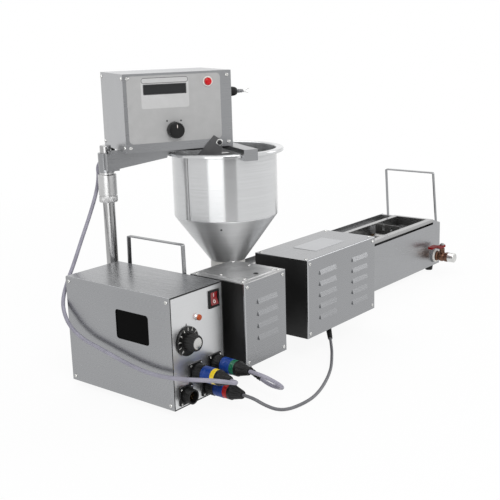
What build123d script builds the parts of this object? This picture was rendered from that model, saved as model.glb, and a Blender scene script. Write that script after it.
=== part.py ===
"""Tabletop donut machine: a long frying bath with two drive boxes on its front, a control box at
its left end, and a dough hopper under a dosing head that swings on a post.

Millimetres, +Z up. Every position below is measured from the control box's front lower left
corner, at the underside of the boxes; DATUM carries that corner to its place in the part frame,
whose origin is the middle of the footprint on the floor.
"""
import os
from math import cos, pi, radians, sin, tan

from build123d import *

os.makedirs("parts", exist_ok=True)

# sheet and play
SHEET = 1.5
FIT = 0.1
RUN_FIT = 0.05
MOVE_GAP = 0.3
BEND_R = 2.0
SCREW_R = 3.0
SCREW_H = 1.5

# control box
FOOT_H = 10.0
CTRL_W = 116.0
CTRL_D = 229.0
CTRL_H = 175.0
FACE_T = 2.0
FACE_REVEAL = 0.8
WINDOW_Y = 81.8
WINDOW_Z = 116.5
WINDOW_L = 70.4
WINDOW_H = 47.0
WINDOW_R = 5.0
PANE_T = 2.0
PANE_LAP = 6.0

# controls on the control face, as (x, z)
ROCKER_IN = 20.5
ROCKER_DROP = 23.3
ROCKER_AT = (CTRL_W - ROCKER_IN, CTRL_H - ROCKER_DROP)
ROCKER_W = 23.0
ROCKER_H = 28.0
ROCKER_RIM = 1.5
ROCKER_RIM_OUT = 2.0
ROCKER_WALL = 1.8
ROCKER_TIP_OUT = 5.2
ROCKER_WAIST_OUT = 3.2
ROCKER_BACK_IN = 5.0
ROCKER_BODY_D = 16.0
ROCKER_CAVITY_D = 9.0
ROCKER_PIVOT_Y = 3.0
ROCKER_PIN_R = 1.5
ROCKER_TILT = 7.0
LAMP_AT = (58.0, 132.0)
LAMP_R = 5.5
LAMP_BARREL_R = 4.8
LAMP_STEM_R = 3.4
LAMP_OUT = 2.4
LENS_L = 3.2
DIAL_AT = (32.5, 101.5)
DIAL_R = 22.5
DIAL_GAP = 1.0
DIAL_SKIRT_T = 3.0
DIAL_SKIRT_ROUND = 1.0
DIAL_GRIP_R = 13.5
DIAL_GRIP_TIP_R = 11.5
DIAL_GRIP_ROUND = 1.5
DIAL_OUT = 22.0
DIAL_SHAFT_R = 3.0
DIAL_SHAFT_IN = 12.0
THERMOSTAT = 36.0

# round panel connectors, as (x, z); the first is empty
EMPTY_SOCKET = (25.0, 18.5)
RED_SOCKET = (75.0, 17.5)
YELLOW_SOCKET = (48.0, 49.0)
GREEN_SOCKET_IN = 24.0
GREEN_SOCKET = (CTRL_W - GREEN_SOCKET_IN, 49.5)
PLUGGED = (YELLOW_SOCKET, GREEN_SOCKET, RED_SOCKET)
SOCKET_FLANGE = 28.0
SOCKET_FLANGE_T = 2.5
SOCKET_R = 11.5
SOCKET_BORE_R = 9.0
SOCKET_L = 16.0
SOCKET_IN = 12.0
PLUG_SLEEVE_R = 13.3
PLUG_SEAT_R = 11.0
PLUG_BACK_R = 12.0
PLUG_TAIL_R = 6.0
PLUG_FRONT = 5.0
BAND_FROM = 19.0
BAND_TO = 37.5
RING_TO = 46.0
PLUG_L = 70.0
BAND_R = 12.4
RING_R = 11.9

# trough and bath
TROUGH_GAP = 1.5
TROUGH_L = 876.5
TROUGH_W = 134.7
TROUGH_Z0 = 2.0
TROUGH_BACK_IN = 13.6
RIM_Z = 112.0
BOX_D = 110.9
SLOT_Z = 100.0
SKIRT_H = 7.0
BATH_T = 1.2
BATH_W = 76.0
BATH_LEDGE = 13.3
BACK_LEDGE = 12.0
BACK_STEP = 12.5
END_BAY = 34.5
RIGHT_BAY = 43.5
END_LAP = 9.0
END_DROP = 12.5
BATH_FLOOR_Z = 23.5
HANDLE_W = 7.4
HANDLE_T = 2.0
HANDLE_Z = 220.0
HANDLE_BEND = 3.0
HANDLE_IN_X = 6.5
RIGHT_HANDLE_IN_X = 14.0
RIGHT_HANDLE_LEAN = 7.0
HANDLE_FOOT_IN = 2.4
HANDLE_TOP_IN = 4.6
HANDLE_SINK = 5.0
FOOT_R = 9.5
FOOT_TIP_R = 8.0
FOOT_IN = 28.0
FOOT_EDGE = 2.0
TROUGH_FOOT_INS = (40.0, 29.0)
BASE_FLANGE_H = 20.0

# heating element
ELEMENT_R = 4.0
ELEMENT_Z = 42.0
ELEMENT_BEND = 16.0
ELEMENT_IN_Y = 18.0
TERMINAL_IN_Y = 12.0
TERMINAL_R = 2.0
TERMINAL_NEAR = 42.4
TERMINAL_FAR = 74.2

# flipper and ejector wheels with their chain
SHAFT_R = 5.0
SHAFT_CLEAR = 1.0
SHAFT_Z = 82.0
FLIPPER_IN_X = 130.0
EJECTOR_BACK_X = 110.0
BUSH_R = 7.5
BUSH_L = 6.0
HUB_R = 11.0
HUB_L = 60.0
BLADE_R = 32.0
BLADE_T = 2.0
BLADE_SLOT = 6.0
BLADE_SLOT_OFF = 10.0
BLADES = 4
SPROCKET_R = 15.0
SPROCKET_T = 4.0
SPROCKET_TEETH = 12
ROLLER_R = 2.1
CHAIN_T = 4.5
CHAIN_PLAY = 0.5

# exit ramp
RAMP_L = 72.0
RAMP_UNDER_RIM = 20.0
RAMP_DROP = 14.0
RAMP_SIDE = 2.0
RAMP_FLANGE = 16.0

# drain
DRAIN_IN_X = 26.0
DRAIN_Z = 25.0
OUTLET_Z = 34.0
PIPE_R = 8.0
PIPE_BORE_R = 6.0
PIPE_BENDS = (9.0, 16.0)
DRAIN_FLANGE_R = 16.5
DRAIN_FLANGE_T = 3.0
VALVE_R = 10.5
VALVE_BULGE = 1.0
VALVE_L = 34.5
VALVE_NECK_R = 6.0
VALVE_NECK_H = 20.0
BALL_R = 8.4
BALL_BORE_R = 5.0
STEM_R = 3.0
STEM_H = 31.0
STEM_NUT_R = 5.5
STEM_NUT_H = 3.0
LEVER_L = 61.0
LEVER_HEEL = 8.0
LEVER_FLAT = 20.0
LEVER_SLOPE = 30.0
LEVER_W = 12.0
LEVER_T = 4.6
LEVER_RISE = 6.5
CAP_R = 10.75
CAP_L = 15.0
CAP_ROUND = 2.0
SPIGOT_R = 8.0

# drive boxes
BOX_Z0 = 32.3
BOX_H = 138.1
TERMINAL_BOX_IN = 15.0
TERMINAL_BOX_W = 106.0
BOX_SPACE = 61.8
DRIVE_BOX_W = 216.4
LOUVRE_OUT = 2.5
LOUVRE_L = 50.0
LOUVRE_H = 8.0
LOUVRE_PITCH = 20.0
LOUVRE_SKIN = 0.8
LOUVRE_LAND = 2.0
TERMINAL_LOUVRE_INS = (57.8,)
TERMINAL_LOUVRE_ROWS = 4
TERMINAL_LOUVRE_DROP = 32.0
DRIVE_LOUVRE_INS = (61.7, 164.5)
DRIVE_LOUVRE_ROWS = 5
DRIVE_LOUVRE_DROP = 24.0
EMBOSS = 0.8
EMBOSS_IN = 14.0
EMBOSS_FRONT_IN = 32.0
LID_HOLE_IN = (56.5, 21.0)
LID_HOLE_R = 3.5
GLAND_R = 8.0
GLAND_H = 6.0
RELIEF_DEEP = 5.0
RELIEF_R = 6.0
RELIEF_TIP_R = 4.2
HEATER_GLAND_IN = (15.5, 12.0)
HEATER_RELIEF_L = 33.0
DRIVE_GLAND_IN = (88.0, 18.0)
DRIVE_RELIEF_L = 29.5
MOTOR_R = 26.0
MOTOR_L = 78.0
GEARBOX = 52.0

# post and swing arm; the arm's own frame is (along the arm, across it, height)
POST_BEYOND = 5.0
POST_BEHIND = 21.0
POST_R = 10.0
POST_TOP_R = 9.4
POST_TOP_H = 12.5
POST_TOP_ROUND = 1.5
SLEEVE_R = 15.0
SLEEVE_H = 102.0
BRACKET_T = 4.0
BRACKET_L = 70.0
BRACKET_CLEAR = 4.0
BRACKET_HOLDS = (35, 110, 205)
COLLAR_R = 15.4
COLLAR_H = 46.5
COLLAR_Z0 = 274.4
COLLAR_KNURL_H = 10.0
COLLAR_GROOVE_H = 1.4
COLLAR_GROOVE_D = 1.0
COLLAR_BOSS_R = 12.2
COLLAR_BOSS_H = 3.3
ARM_ANGLE = -28.4
HUB_OUT_R = 13.2
HUB_H = 32.3
ARM_B0 = -35.5
ARM_B1 = -15.5
ARM_OVER_HUB = 4.7
ARM_ROOT_UP = 5.5
ARM_ROOT_STEP = 3.0
ARM_TIP_H = 16.5
ARM_TIP_RUN = 3.0
LIP_GAP = 1.0
CROSSBAR_W = 24.0
CROSSBAR_OFF = 3.0
CROSSBAR_T = 7.3
HOOK_T = 8.6
HOOK_GAP = 2.0
TOE_GAP = 4.0

# hopper on the arm, at (along, across)
HOPPER_AT = (201.73, -25.07)
HOPPER_R = 90.7
HOPPER_T = 1.5
LIP_R = 102.3
LIP_H = 6.0
HOPPER_HANG = 1.3
HOPPER_WALL_H = 114.1
CONE_H = 81.9
CONE_R0 = 31.2
NECK_R = 30.5
NECK_H = 34.9
FUNNEL_H = 9.0
PISTON_R = 20.0
PISTON_H = 16.0
PISTON_UP = 2.0
ROD_R = 4.0
ROD_CLEAR = 1.0
LINK_H = 8.0
LINK_UNDER = 10.2
DRIVE_ROD_UP = 64.5

# dosing head on the arm
HEAD_A0 = 16.8
HEAD_W = 183.2
HEAD_B0 = -71.8
HEAD_D = 142.9
HEAD_H = 124.7
DISPLAY_IN = 68.9
DISPLAY_DROP = 25.7
DISPLAY_W = 70.0
DISPLAY_H = 14.0
DISPLAY_T = 2.5
DISPLAY_SINK = 0.5
KNOB_IN = 81.9
KNOB_UP = 33.0
KNOB_R = 13.5
KNOB_GAP = 1.0
KNOB_OUT = 17.0
KNOB_ROUND = 1.5
BUTTON_IN = 41.1
BUTTON_DROP = 16.9
BUTTON_R = 6.0
BUTTON_WALL = 1.0
BUTTON_OUT = 4.5
BUTTON_ROUND = 1.8
BEZEL_R = 7.6
BEZEL_OUT = 2.0
BUTTON_TRAVEL = 2.5
SIDE_GLAND_IN = 15.3
SIDE_GLAND_DROP = 36.2
SIDE_GLAND_RING = 1.0
HEAD_GLAND_IN = 10.5
HEAD_GLAND_BACK_IN = 12.0
HEAD_RELIEF_L = 27.0
DRIVE_ROD_IN = 20.3
DOSING_BOX_LEFT = 26.0
DOSING_BOX_RIGHT = 14.0
DOSING_BOX_W = 48.0
DOSING_BOX_H = 69.0
DOSING_MOTOR_R = 22.0
DOSING_MOTOR_L = 80.0
DOSING_MOTOR_UP = 41.6
ROD_HEADROOM = 2.0
PLATE_T = 2.0
BOLT_IN = 24.9
BOLT_UP = 7.3
BOLT_R = 4.0
PLATE_OUTLINE = ((-8.9, 12.2), (3.6, 4.2), (4.6, -6.8), (0.6, -43.8), (-33.4, -43.8), (-36.9, -16.8))
SCREW_IN = 7.5

# cables
HEAD_CABLE_D = 6.4
HEATER_CABLE_D = 6.2
DRIVE_CABLE_D = 5.2
CABLE_LEAD = 18.0
RELIEF_LEAD = 25.2
FOLD_LEAD = 8.0
HEAD_LEAD = 14.0

# positions that follow from the sizes above
TROUGH_X0 = CTRL_W + TROUGH_GAP
TROUGH_X1 = TROUGH_X0 + TROUGH_L
TROUGH_Y1 = CTRL_D - TROUGH_BACK_IN
TROUGH_Y0 = TROUGH_Y1 - TROUGH_W
BOX_Y0 = TROUGH_Y0 - BOX_D
BATH_X0 = TROUGH_X0 + END_BAY
BATH_X1 = TROUGH_X1 - RIGHT_BAY
BATH_Y0 = TROUGH_Y0 + BATH_LEDGE
BATH_Y1 = BATH_Y0 + BATH_W
BATH_Y = (BATH_Y0 + BATH_Y1) / 2
RIM_X0 = BATH_X0 - END_LAP
RIM_X1 = BATH_X1 + END_LAP
SHELF_Z = RIM_Z - BATH_T
END_Z = RIM_Z - END_DROP
SLOPE_X0 = RIM_X1 + FIT
TERMINAL_BOX_X0 = TROUGH_X0 + TERMINAL_BOX_IN
TERMINAL_BOX_X1 = TERMINAL_BOX_X0 + TERMINAL_BOX_W
DRIVE_BOX_X0 = TERMINAL_BOX_X1 + BOX_SPACE
DRIVE_BOX_X1 = DRIVE_BOX_X0 + DRIVE_BOX_W
BOX_Z1 = BOX_Z0 + BOX_H
FLIPPER_X = DRIVE_BOX_X0 + FLIPPER_IN_X
EJECTOR_X = BATH_X1 - EJECTOR_BACK_X
GAP_Y = (TROUGH_Y0 + SHEET + BATH_Y0 - BATH_T) / 2
DRAIN_X = TROUGH_X1 - DRAIN_IN_X
VALVE_Y1 = TROUGH_Y0 - DRAIN_FLANGE_T
VALVE_Y0 = VALVE_Y1 - VALVE_L
VALVE_Y = (VALVE_Y0 + VALVE_Y1) / 2
POST_X = CTRL_W + POST_BEYOND
POST_Y = CTRL_D + POST_BEHIND
SLEEVE_Z1 = TROUGH_Z0 + SLEEVE_H
COLLAR_Z1 = COLLAR_Z0 + COLLAR_H
HUB_Z0 = COLLAR_Z1 + COLLAR_BOSS_H + MOVE_GAP
HUB_Z1 = HUB_Z0 + HUB_H
ARM_TOP_Z = HUB_Z1 + ARM_OVER_HUB
ARM_ROOT_Z = HUB_Z0 + ARM_ROOT_UP
ARM_TIP_Z = ARM_TOP_Z - ARM_TIP_H
CROSSBAR_Z0 = ARM_TOP_Z - CROSSBAR_T
HOPPER_A, HOPPER_B = HOPPER_AT
CROSSBAR_A0 = HOPPER_A + CROSSBAR_OFF - CROSSBAR_W / 2
CROSSBAR_A1 = CROSSBAR_A0 + CROSSBAR_W
HOPPER_TOP_Z = CROSSBAR_Z0 - HOPPER_HANG
LIP_Z0 = HOPPER_TOP_Z - LIP_H
CONE_Z1 = HOPPER_TOP_Z - HOPPER_WALL_H
CONE_Z0 = CONE_Z1 - CONE_H
NECK_Z0 = CONE_Z0 - NECK_H
LINK_Z = CROSSBAR_Z0 - LINK_UNDER - LINK_H
HEAD_A1 = HEAD_A0 + HEAD_W
HEAD_B1 = HEAD_B0 + HEAD_D
HEAD_Z0 = ARM_TOP_Z
HEAD_Z1 = HEAD_Z0 + HEAD_H
LINK_A = HEAD_A1 - DRIVE_ROD_IN
DRIVE_ROD_Z1 = HEAD_Z0 + DRIVE_ROD_UP
DISPLAY_AT = (HEAD_A0 + DISPLAY_IN, HEAD_Z1 - DISPLAY_DROP)
KNOB_AT = (HEAD_A0 + KNOB_IN, HEAD_Z0 + KNOB_UP)
BUTTON_AT = (HEAD_A1 - BUTTON_IN, HEAD_Z1 - BUTTON_DROP)
BOLT_AT = (HEAD_A1 - BOLT_IN, HEAD_Z0 + BOLT_UP)
SIDE_GLAND_AT = (HEAD_B0 + SIDE_GLAND_IN, HEAD_Z1 - SIDE_GLAND_DROP)

# planes: the footprint's middle is the origin
ARM_COS = cos(radians(ARM_ANGLE))
ARM_SIN = sin(radians(ARM_ANGLE))
BACK_MOST = POST_Y + HEAD_A0 * ARM_SIN + HEAD_B1 * ARM_COS
FRONT_MOST = BOX_Y0 - LOUVRE_OUT
DATUM = Plane(origin=(-(TROUGH_X1 - SCREW_H) / 2, -(BACK_MOST + FRONT_MOST) / 2, FOOT_H))
ARM = Plane(DATUM.location * Location((POST_X, POST_Y, 0), (0, 0, ARM_ANGLE)))


def place(x, y, z):
    """A point given from the datum corner, in the part frame."""
    return DATUM.from_local_coords((x, y, z))


def facing_front(y):
    """An upright plane across the machine that looks to the front, with (x, z) on it."""
    return Plane(origin=place(0, y, 0), x_dir=(1, 0, 0), z_dir=(0, -1, 0))


CTRL_FACE = facing_front(0)
BOX_FACE = facing_front(BOX_Y0)
CTRL_LEFT = Plane(origin=place(0, 0, 0), x_dir=(0, -1, 0), z_dir=(-1, 0, 0))
HEAD_FACE = Plane(origin=ARM.from_local_coords((0, HEAD_B0, 0)), x_dir=ARM.x_dir, z_dir=-ARM.y_dir)
HEAD_LEFT = Plane(origin=ARM.from_local_coords((HEAD_A0, 0, 0)), x_dir=-ARM.y_dir, z_dir=-ARM.x_dir)
HEAD_RIGHT = Plane(origin=ARM.from_local_coords((HEAD_A1, 0, 0)), x_dir=ARM.y_dir, z_dir=ARM.x_dir)

FRONT = (0, -1, 0)
BACK = (0, 1, 0)
UP = (0, 0, 1)
DOWN = (0, 0, -1)
FROM_BASE = (Align.CENTER, Align.CENTER, Align.MIN)


def block(x0, x1, y0, y1, z0, z1, mode=Mode.ADD):
    """A box between six limits."""
    with Locations(((x0 + x1) / 2, (y0 + y1) / 2, (z0 + z1) / 2)):
        Box(x1 - x0, y1 - y0, z1 - z0, mode=mode)


def rod(start, direction, length, radius, mode=Mode.ADD):
    """A round bar from a point along a direction."""
    with Locations(Plane(origin=start, z_dir=direction)):
        Cylinder(radius, length, align=FROM_BASE, mode=mode)


def taper(start, direction, length, radius, tip_radius):
    """A cone frustum from a point along a direction."""
    with Locations(Plane(origin=start, z_dir=direction)):
        Cone(radius, tip_radius, length, align=FROM_BASE)


def tube_along(points, radii, radius):
    """A round tube swept along straight runs joined by arcs, in the part frame."""
    with BuildPart() as tube:
        with BuildLine() as route:
            FilletPolyline(*points, radius=radii)
        with BuildSketch(Plane(origin=route.line @ 0, z_dir=route.line % 0)):
            Circle(radius)
        sweep()
    return tube


def cable(name, stops, diameter):
    """A cable through the stops; each corner gets the widest arc its runs leave room for."""
    points = [place(*stop) for stop in stops]
    radii = []
    length = (points[1] - points[0]).length
    for before, here, after in zip(points, points[1:], points[2:]):
        arrive = here - before
        leave = after - here
        turn = radians(arrive.get_angle(leave))
        radius = 0.45 * min(arrive.length, leave.length) / tan(turn / 2)
        radii.append(radius)
        length += leave.length + radius * (turn - 2 * tan(turn / 2))
    tube = tube_along(points, radii, diameter / 2)
    share = tube.part.volume / (pi * diameter**2 / 4 * length)
    print(f"{name}: {length:.0f} mm, radii {min(radii):.0f} to {max(radii):.0f}, volume {share:.3f}")
    return tube


# control box: cover bent over top and sides, base with the back, face panel between the sides
with BuildPart(DATUM) as control_cover:
    block(0, CTRL_W, 0, CTRL_D, 0, CTRL_H)
    fillet(control_cover.edges().filter_by(Axis.Y).group_by(Axis.Z)[-1], BEND_R)
    block(SHEET, CTRL_W - SHEET, 0, CTRL_D, -SHEET, CTRL_H - SHEET, Mode.SUBTRACT)
    with BuildSketch(CTRL_LEFT):
        with Locations((-WINDOW_Y, WINDOW_Z)):
            RectangleRounded(WINDOW_L, WINDOW_H, WINDOW_R)
    extrude(amount=-SHEET, mode=Mode.SUBTRACT)

CTRL_IN_X0 = SHEET + FIT
CTRL_IN_X1 = CTRL_W - SHEET - FIT

with BuildPart(DATUM) as control_base:
    block(CTRL_IN_X0, CTRL_IN_X1, FACE_T, CTRL_D, 0, SHEET)
    block(CTRL_IN_X0, CTRL_IN_X1, CTRL_D - SHEET, CTRL_D, 0, CTRL_H - SHEET - FIT)
    block(CTRL_IN_X0, CTRL_IN_X0 + SHEET, SOCKET_IN + FACE_T, CTRL_D, 0, BASE_FLANGE_H)
    block(CTRL_IN_X1 - SHEET, CTRL_IN_X1, SOCKET_IN + FACE_T, CTRL_D, 0, BASE_FLANGE_H)

with BuildPart(DATUM) as control_face:
    block(CTRL_IN_X0, CTRL_IN_X1, 0, FACE_T, 0, CTRL_H - SHEET - FACE_REVEAL)
    with BuildSketch(CTRL_FACE):
        with Locations(ROCKER_AT):
            Rectangle(ROCKER_W - 2 * ROCKER_RIM + 2 * FIT, ROCKER_H - 2 * ROCKER_RIM + 2 * FIT)
        with Locations(LAMP_AT, DIAL_AT):
            Circle(LAMP_BARREL_R)
        with Locations(EMPTY_SOCKET, *PLUGGED):
            Circle(SOCKET_R)
    extrude(amount=-FACE_T, mode=Mode.SUBTRACT)

PANE_HALF_L = WINDOW_L / 2 + PANE_LAP
PANE_HALF_H = WINDOW_H / 2 + PANE_LAP
with BuildPart(DATUM) as control_window:
    block(CTRL_IN_X0, CTRL_IN_X0 + PANE_T, WINDOW_Y - PANE_HALF_L, WINDOW_Y + PANE_HALF_L,
          WINDOW_Z - PANE_HALF_H, WINDOW_Z + PANE_HALF_H)

# rocker switch: bezel with a cavity, rocker on a pin through the cavity's sides
ROCKER_X, ROCKER_Z = ROCKER_AT
ROCKER_IN_X = ROCKER_W / 2 - ROCKER_RIM
ROCKER_IN_Z = ROCKER_H / 2 - ROCKER_RIM

with BuildPart(DATUM) as rocker_bezel:
    block(ROCKER_X - ROCKER_W / 2, ROCKER_X + ROCKER_W / 2, -ROCKER_RIM_OUT, 0,
          ROCKER_Z - ROCKER_H / 2, ROCKER_Z + ROCKER_H / 2)
    block(ROCKER_X - ROCKER_IN_X, ROCKER_X + ROCKER_IN_X, 0, ROCKER_BODY_D,
          ROCKER_Z - ROCKER_IN_Z, ROCKER_Z + ROCKER_IN_Z)
    block(ROCKER_X - ROCKER_IN_X + ROCKER_WALL, ROCKER_X + ROCKER_IN_X - ROCKER_WALL,
          -ROCKER_RIM_OUT, ROCKER_CAVITY_D,
          ROCKER_Z - ROCKER_IN_Z + ROCKER_WALL, ROCKER_Z + ROCKER_IN_Z - ROCKER_WALL, Mode.SUBTRACT)
    rod((ROCKER_X - ROCKER_IN_X + FIT, ROCKER_PIVOT_Y, ROCKER_Z), (1, 0, 0), 2 * ROCKER_IN_X - 2 * FIT,
        ROCKER_PIN_R + RUN_FIT, Mode.SUBTRACT)

ROCKER_HALF_W = ROCKER_IN_X - ROCKER_WALL - MOVE_GAP
ROCKER_HALF_H = ROCKER_IN_Z - ROCKER_WALL - 2 * MOVE_GAP
ROCKER_PROFILE = (
    (0, -ROCKER_HALF_H), (-ROCKER_TIP_OUT, -ROCKER_HALF_H), (-ROCKER_WAIST_OUT, 0),
    (-ROCKER_TIP_OUT, ROCKER_HALF_H), (0, ROCKER_HALF_H), (ROCKER_BACK_IN, ROCKER_HALF_H / 2),
    (ROCKER_BACK_IN, -ROCKER_HALF_H / 2))

with BuildPart() as rocker_switch:
    rocker_side = Plane(origin=place(ROCKER_X - ROCKER_HALF_W, 0, 0), x_dir=(0, 1, 0), z_dir=(1, 0, 0))
    with BuildSketch(rocker_side):
        with Locations(Location((ROCKER_PIVOT_Y, ROCKER_Z, 0), (0, 0, -ROCKER_TILT))):
            Polygon(*ROCKER_PROFILE, align=None)
    extrude(amount=2 * ROCKER_HALF_W)
    rod(place(ROCKER_X - ROCKER_IN_X + 2 * FIT, ROCKER_PIVOT_Y, ROCKER_Z), (1, 0, 0),
        2 * ROCKER_IN_X - 4 * FIT, ROCKER_PIN_R)

# pilot lamp
LAMP_X, LAMP_Z = LAMP_AT
with BuildPart(DATUM) as lamp_bezel:
    rod((LAMP_X, 0, LAMP_Z), FRONT, LAMP_OUT / 2, LAMP_R)
    rod((LAMP_X, 0, LAMP_Z), FRONT, LAMP_OUT, LAMP_BARREL_R)
    rod((LAMP_X, 0, LAMP_Z), BACK, 2 * LAMP_OUT, LAMP_BARREL_R - FIT)
    rod((LAMP_X, -LAMP_OUT / 2, LAMP_Z), FRONT, LAMP_OUT, LAMP_STEM_R, Mode.SUBTRACT)

with BuildPart(DATUM) as lamp_lens:
    rod((LAMP_X, -LAMP_OUT, LAMP_Z), FRONT, LENS_L, LAMP_BARREL_R - FIT)
    fillet(lamp_lens.edges().filter_by(GeomType.CIRCLE).group_by(Axis.Y)[0], LENS_L / 2)
    rod((LAMP_X, -LAMP_OUT, LAMP_Z), BACK, LAMP_OUT / 2 - FIT, LAMP_STEM_R - FIT)

# temperature dial on the thermostat's bush
DIAL_X, DIAL_Z = DIAL_AT
with BuildPart(DATUM) as dial_knob:
    rod((DIAL_X, -DIAL_GAP, DIAL_Z), FRONT, DIAL_SKIRT_T, DIAL_R)
    fillet(dial_knob.edges().filter_by(GeomType.CIRCLE).group_by(Axis.Y)[0], DIAL_SKIRT_ROUND)
    grip_from = DIAL_GAP + DIAL_SKIRT_T
    taper((DIAL_X, -grip_from, DIAL_Z), FRONT, DIAL_OUT - grip_from, DIAL_GRIP_R, DIAL_GRIP_TIP_R)
    fillet(dial_knob.edges().filter_by(GeomType.CIRCLE).group_by(Axis.Y)[0], DIAL_GRIP_ROUND)
    rod((DIAL_X, -DIAL_GAP, DIAL_Z), BACK, DIAL_GAP + DIAL_SHAFT_IN, DIAL_SHAFT_R)

with BuildPart(DATUM) as thermostat:
    block(DIAL_X - THERMOSTAT / 2, DIAL_X + THERMOSTAT / 2, FACE_T, FACE_T + THERMOSTAT,
          DIAL_Z - THERMOSTAT / 2, DIAL_Z + THERMOSTAT / 2)
    rod((DIAL_X, 0, DIAL_Z), BACK, FACE_T, LAMP_BARREL_R - FIT)
    rod((DIAL_X, 0, DIAL_Z), BACK, DIAL_SHAFT_IN + DIAL_GAP, DIAL_SHAFT_R + RUN_FIT, Mode.SUBTRACT)

# panel sockets and the three plugs on their cables
with BuildPart(DATUM) as panel_sockets:
    for x, z in (EMPTY_SOCKET, *PLUGGED):
        block(x - SOCKET_FLANGE / 2, x + SOCKET_FLANGE / 2, -SOCKET_FLANGE_T, 0,
              z - SOCKET_FLANGE / 2, z + SOCKET_FLANGE / 2)
        rod((x, 0, z), FRONT, SOCKET_L, SOCKET_R)
        rod((x, 0, z), BACK, SOCKET_IN, SOCKET_R - FIT)
        rod((x, -SOCKET_FLANGE_T, z), FRONT, SOCKET_L, SOCKET_BORE_R, Mode.SUBTRACT)

with BuildPart(DATUM) as cable_plugs:
    for x, z in PLUGGED:
        rod((x, -PLUG_FRONT, z), FRONT, BAND_FROM - PLUG_FRONT, PLUG_SLEEVE_R)
        rod((x, 0, z), FRONT, SOCKET_L + FIT, SOCKET_R + FIT, Mode.SUBTRACT)
        rod((x, -PLUG_FRONT, z), FRONT, RING_TO - PLUG_FRONT, SOCKET_BORE_R - FIT)
        rod((x, -BAND_FROM, z), FRONT, RING_TO - BAND_FROM, PLUG_SEAT_R)
        taper((x, -RING_TO, z), FRONT, PLUG_L - RING_TO, PLUG_BACK_R, PLUG_TAIL_R)


def plug_collars(near, far, radius):
    """One collar on each plug's seat."""
    with BuildPart(DATUM) as collars:
        for x, z in PLUGGED:
            rod((x, -near - FIT, z), FRONT, far - near - 2 * FIT, radius)
            rod((x, -near, z), FRONT, far - near, PLUG_SEAT_R + FIT, Mode.SUBTRACT)
    return collars


plug_bands = plug_collars(BAND_FROM, BAND_TO, BAND_R)
plug_rings = plug_collars(BAND_TO, RING_TO, RING_R)

# outer trough casing: open tray with a shelf over each end bay and a long slot along its front;
# the right shelf falls away from the bath's rim
SKIRT_Z = RIM_Z - SKIRT_H
ELEMENT_Y0 = BATH_Y0 + ELEMENT_IN_Y
ELEMENT_Y1 = BATH_Y1 - ELEMENT_IN_Y
TERMINAL_XS = (TERMINAL_BOX_X0 + TERMINAL_NEAR, TERMINAL_BOX_X0 + TERMINAL_FAR)
RIGHT_SHELF_X0 = BATH_X1 + BATH_T + FIT
right_shelf = ((RIGHT_SHELF_X0, SHELF_Z - SHEET), (SLOPE_X0, SHELF_Z - SHEET), (TROUGH_X1, END_Z - SHEET),
               (TROUGH_X1, END_Z), (SLOPE_X0, SHELF_Z), (RIGHT_SHELF_X0, SHELF_Z))

with BuildPart(DATUM) as trough_casing:
    block(TROUGH_X0, TROUGH_X1, TROUGH_Y0, TROUGH_Y1, TROUGH_Z0, RIM_Z)
    block(TROUGH_X0 + SHEET, TROUGH_X1 - SHEET, TROUGH_Y0 + SHEET, TROUGH_Y1 - SHEET,
          TROUGH_Z0 + SHEET, RIM_Z, Mode.SUBTRACT)
    block(TROUGH_X0, BATH_X0 - BATH_T - FIT, TROUGH_Y0, TROUGH_Y1, SHELF_Z - SHEET, SHELF_Z)
    with BuildSketch(facing_front(TROUGH_Y1)):
        Polygon((SLOPE_X0, SHELF_Z), (TROUGH_X1, END_Z), (TROUGH_X1, RIM_Z), (SLOPE_X0, RIM_Z), align=None)
    extrude(amount=TROUGH_W, mode=Mode.SUBTRACT)
    with BuildSketch(facing_front(TROUGH_Y1)):
        Polygon(*right_shelf, align=None)
    extrude(amount=TROUGH_W)
    block(RIM_X0 - FIT, SLOPE_X0, TROUGH_Y0, TROUGH_Y0 + SHEET, SLOT_Z, RIM_Z, Mode.SUBTRACT)
    for terminal_x in TERMINAL_XS:
        rod((terminal_x, TROUGH_Y0, ELEMENT_Z), BACK, SHEET, ELEMENT_R + FIT, Mode.SUBTRACT)
    rod((FLIPPER_X, TROUGH_Y0, SHAFT_Z), BACK, SHEET, SHAFT_R + SHAFT_CLEAR, Mode.SUBTRACT)
    rod((DRAIN_X, TROUGH_Y0, DRAIN_Z), BACK, SHEET, PIPE_R + FIT, Mode.SUBTRACT)

# bath that drops into the casing: tub, rim, front skirt, and a stepped shelf behind it, closed at both ends
LEDGE_Y1 = BATH_Y1 + BACK_LEDGE
TRAY_Y1 = TROUGH_Y1 - SHEET - FIT
TRAY_Z = RIM_Z - BACK_STEP
OUTLET_Y = BATH_Y0 + PIPE_R + ELEMENT_IN_Y

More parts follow.
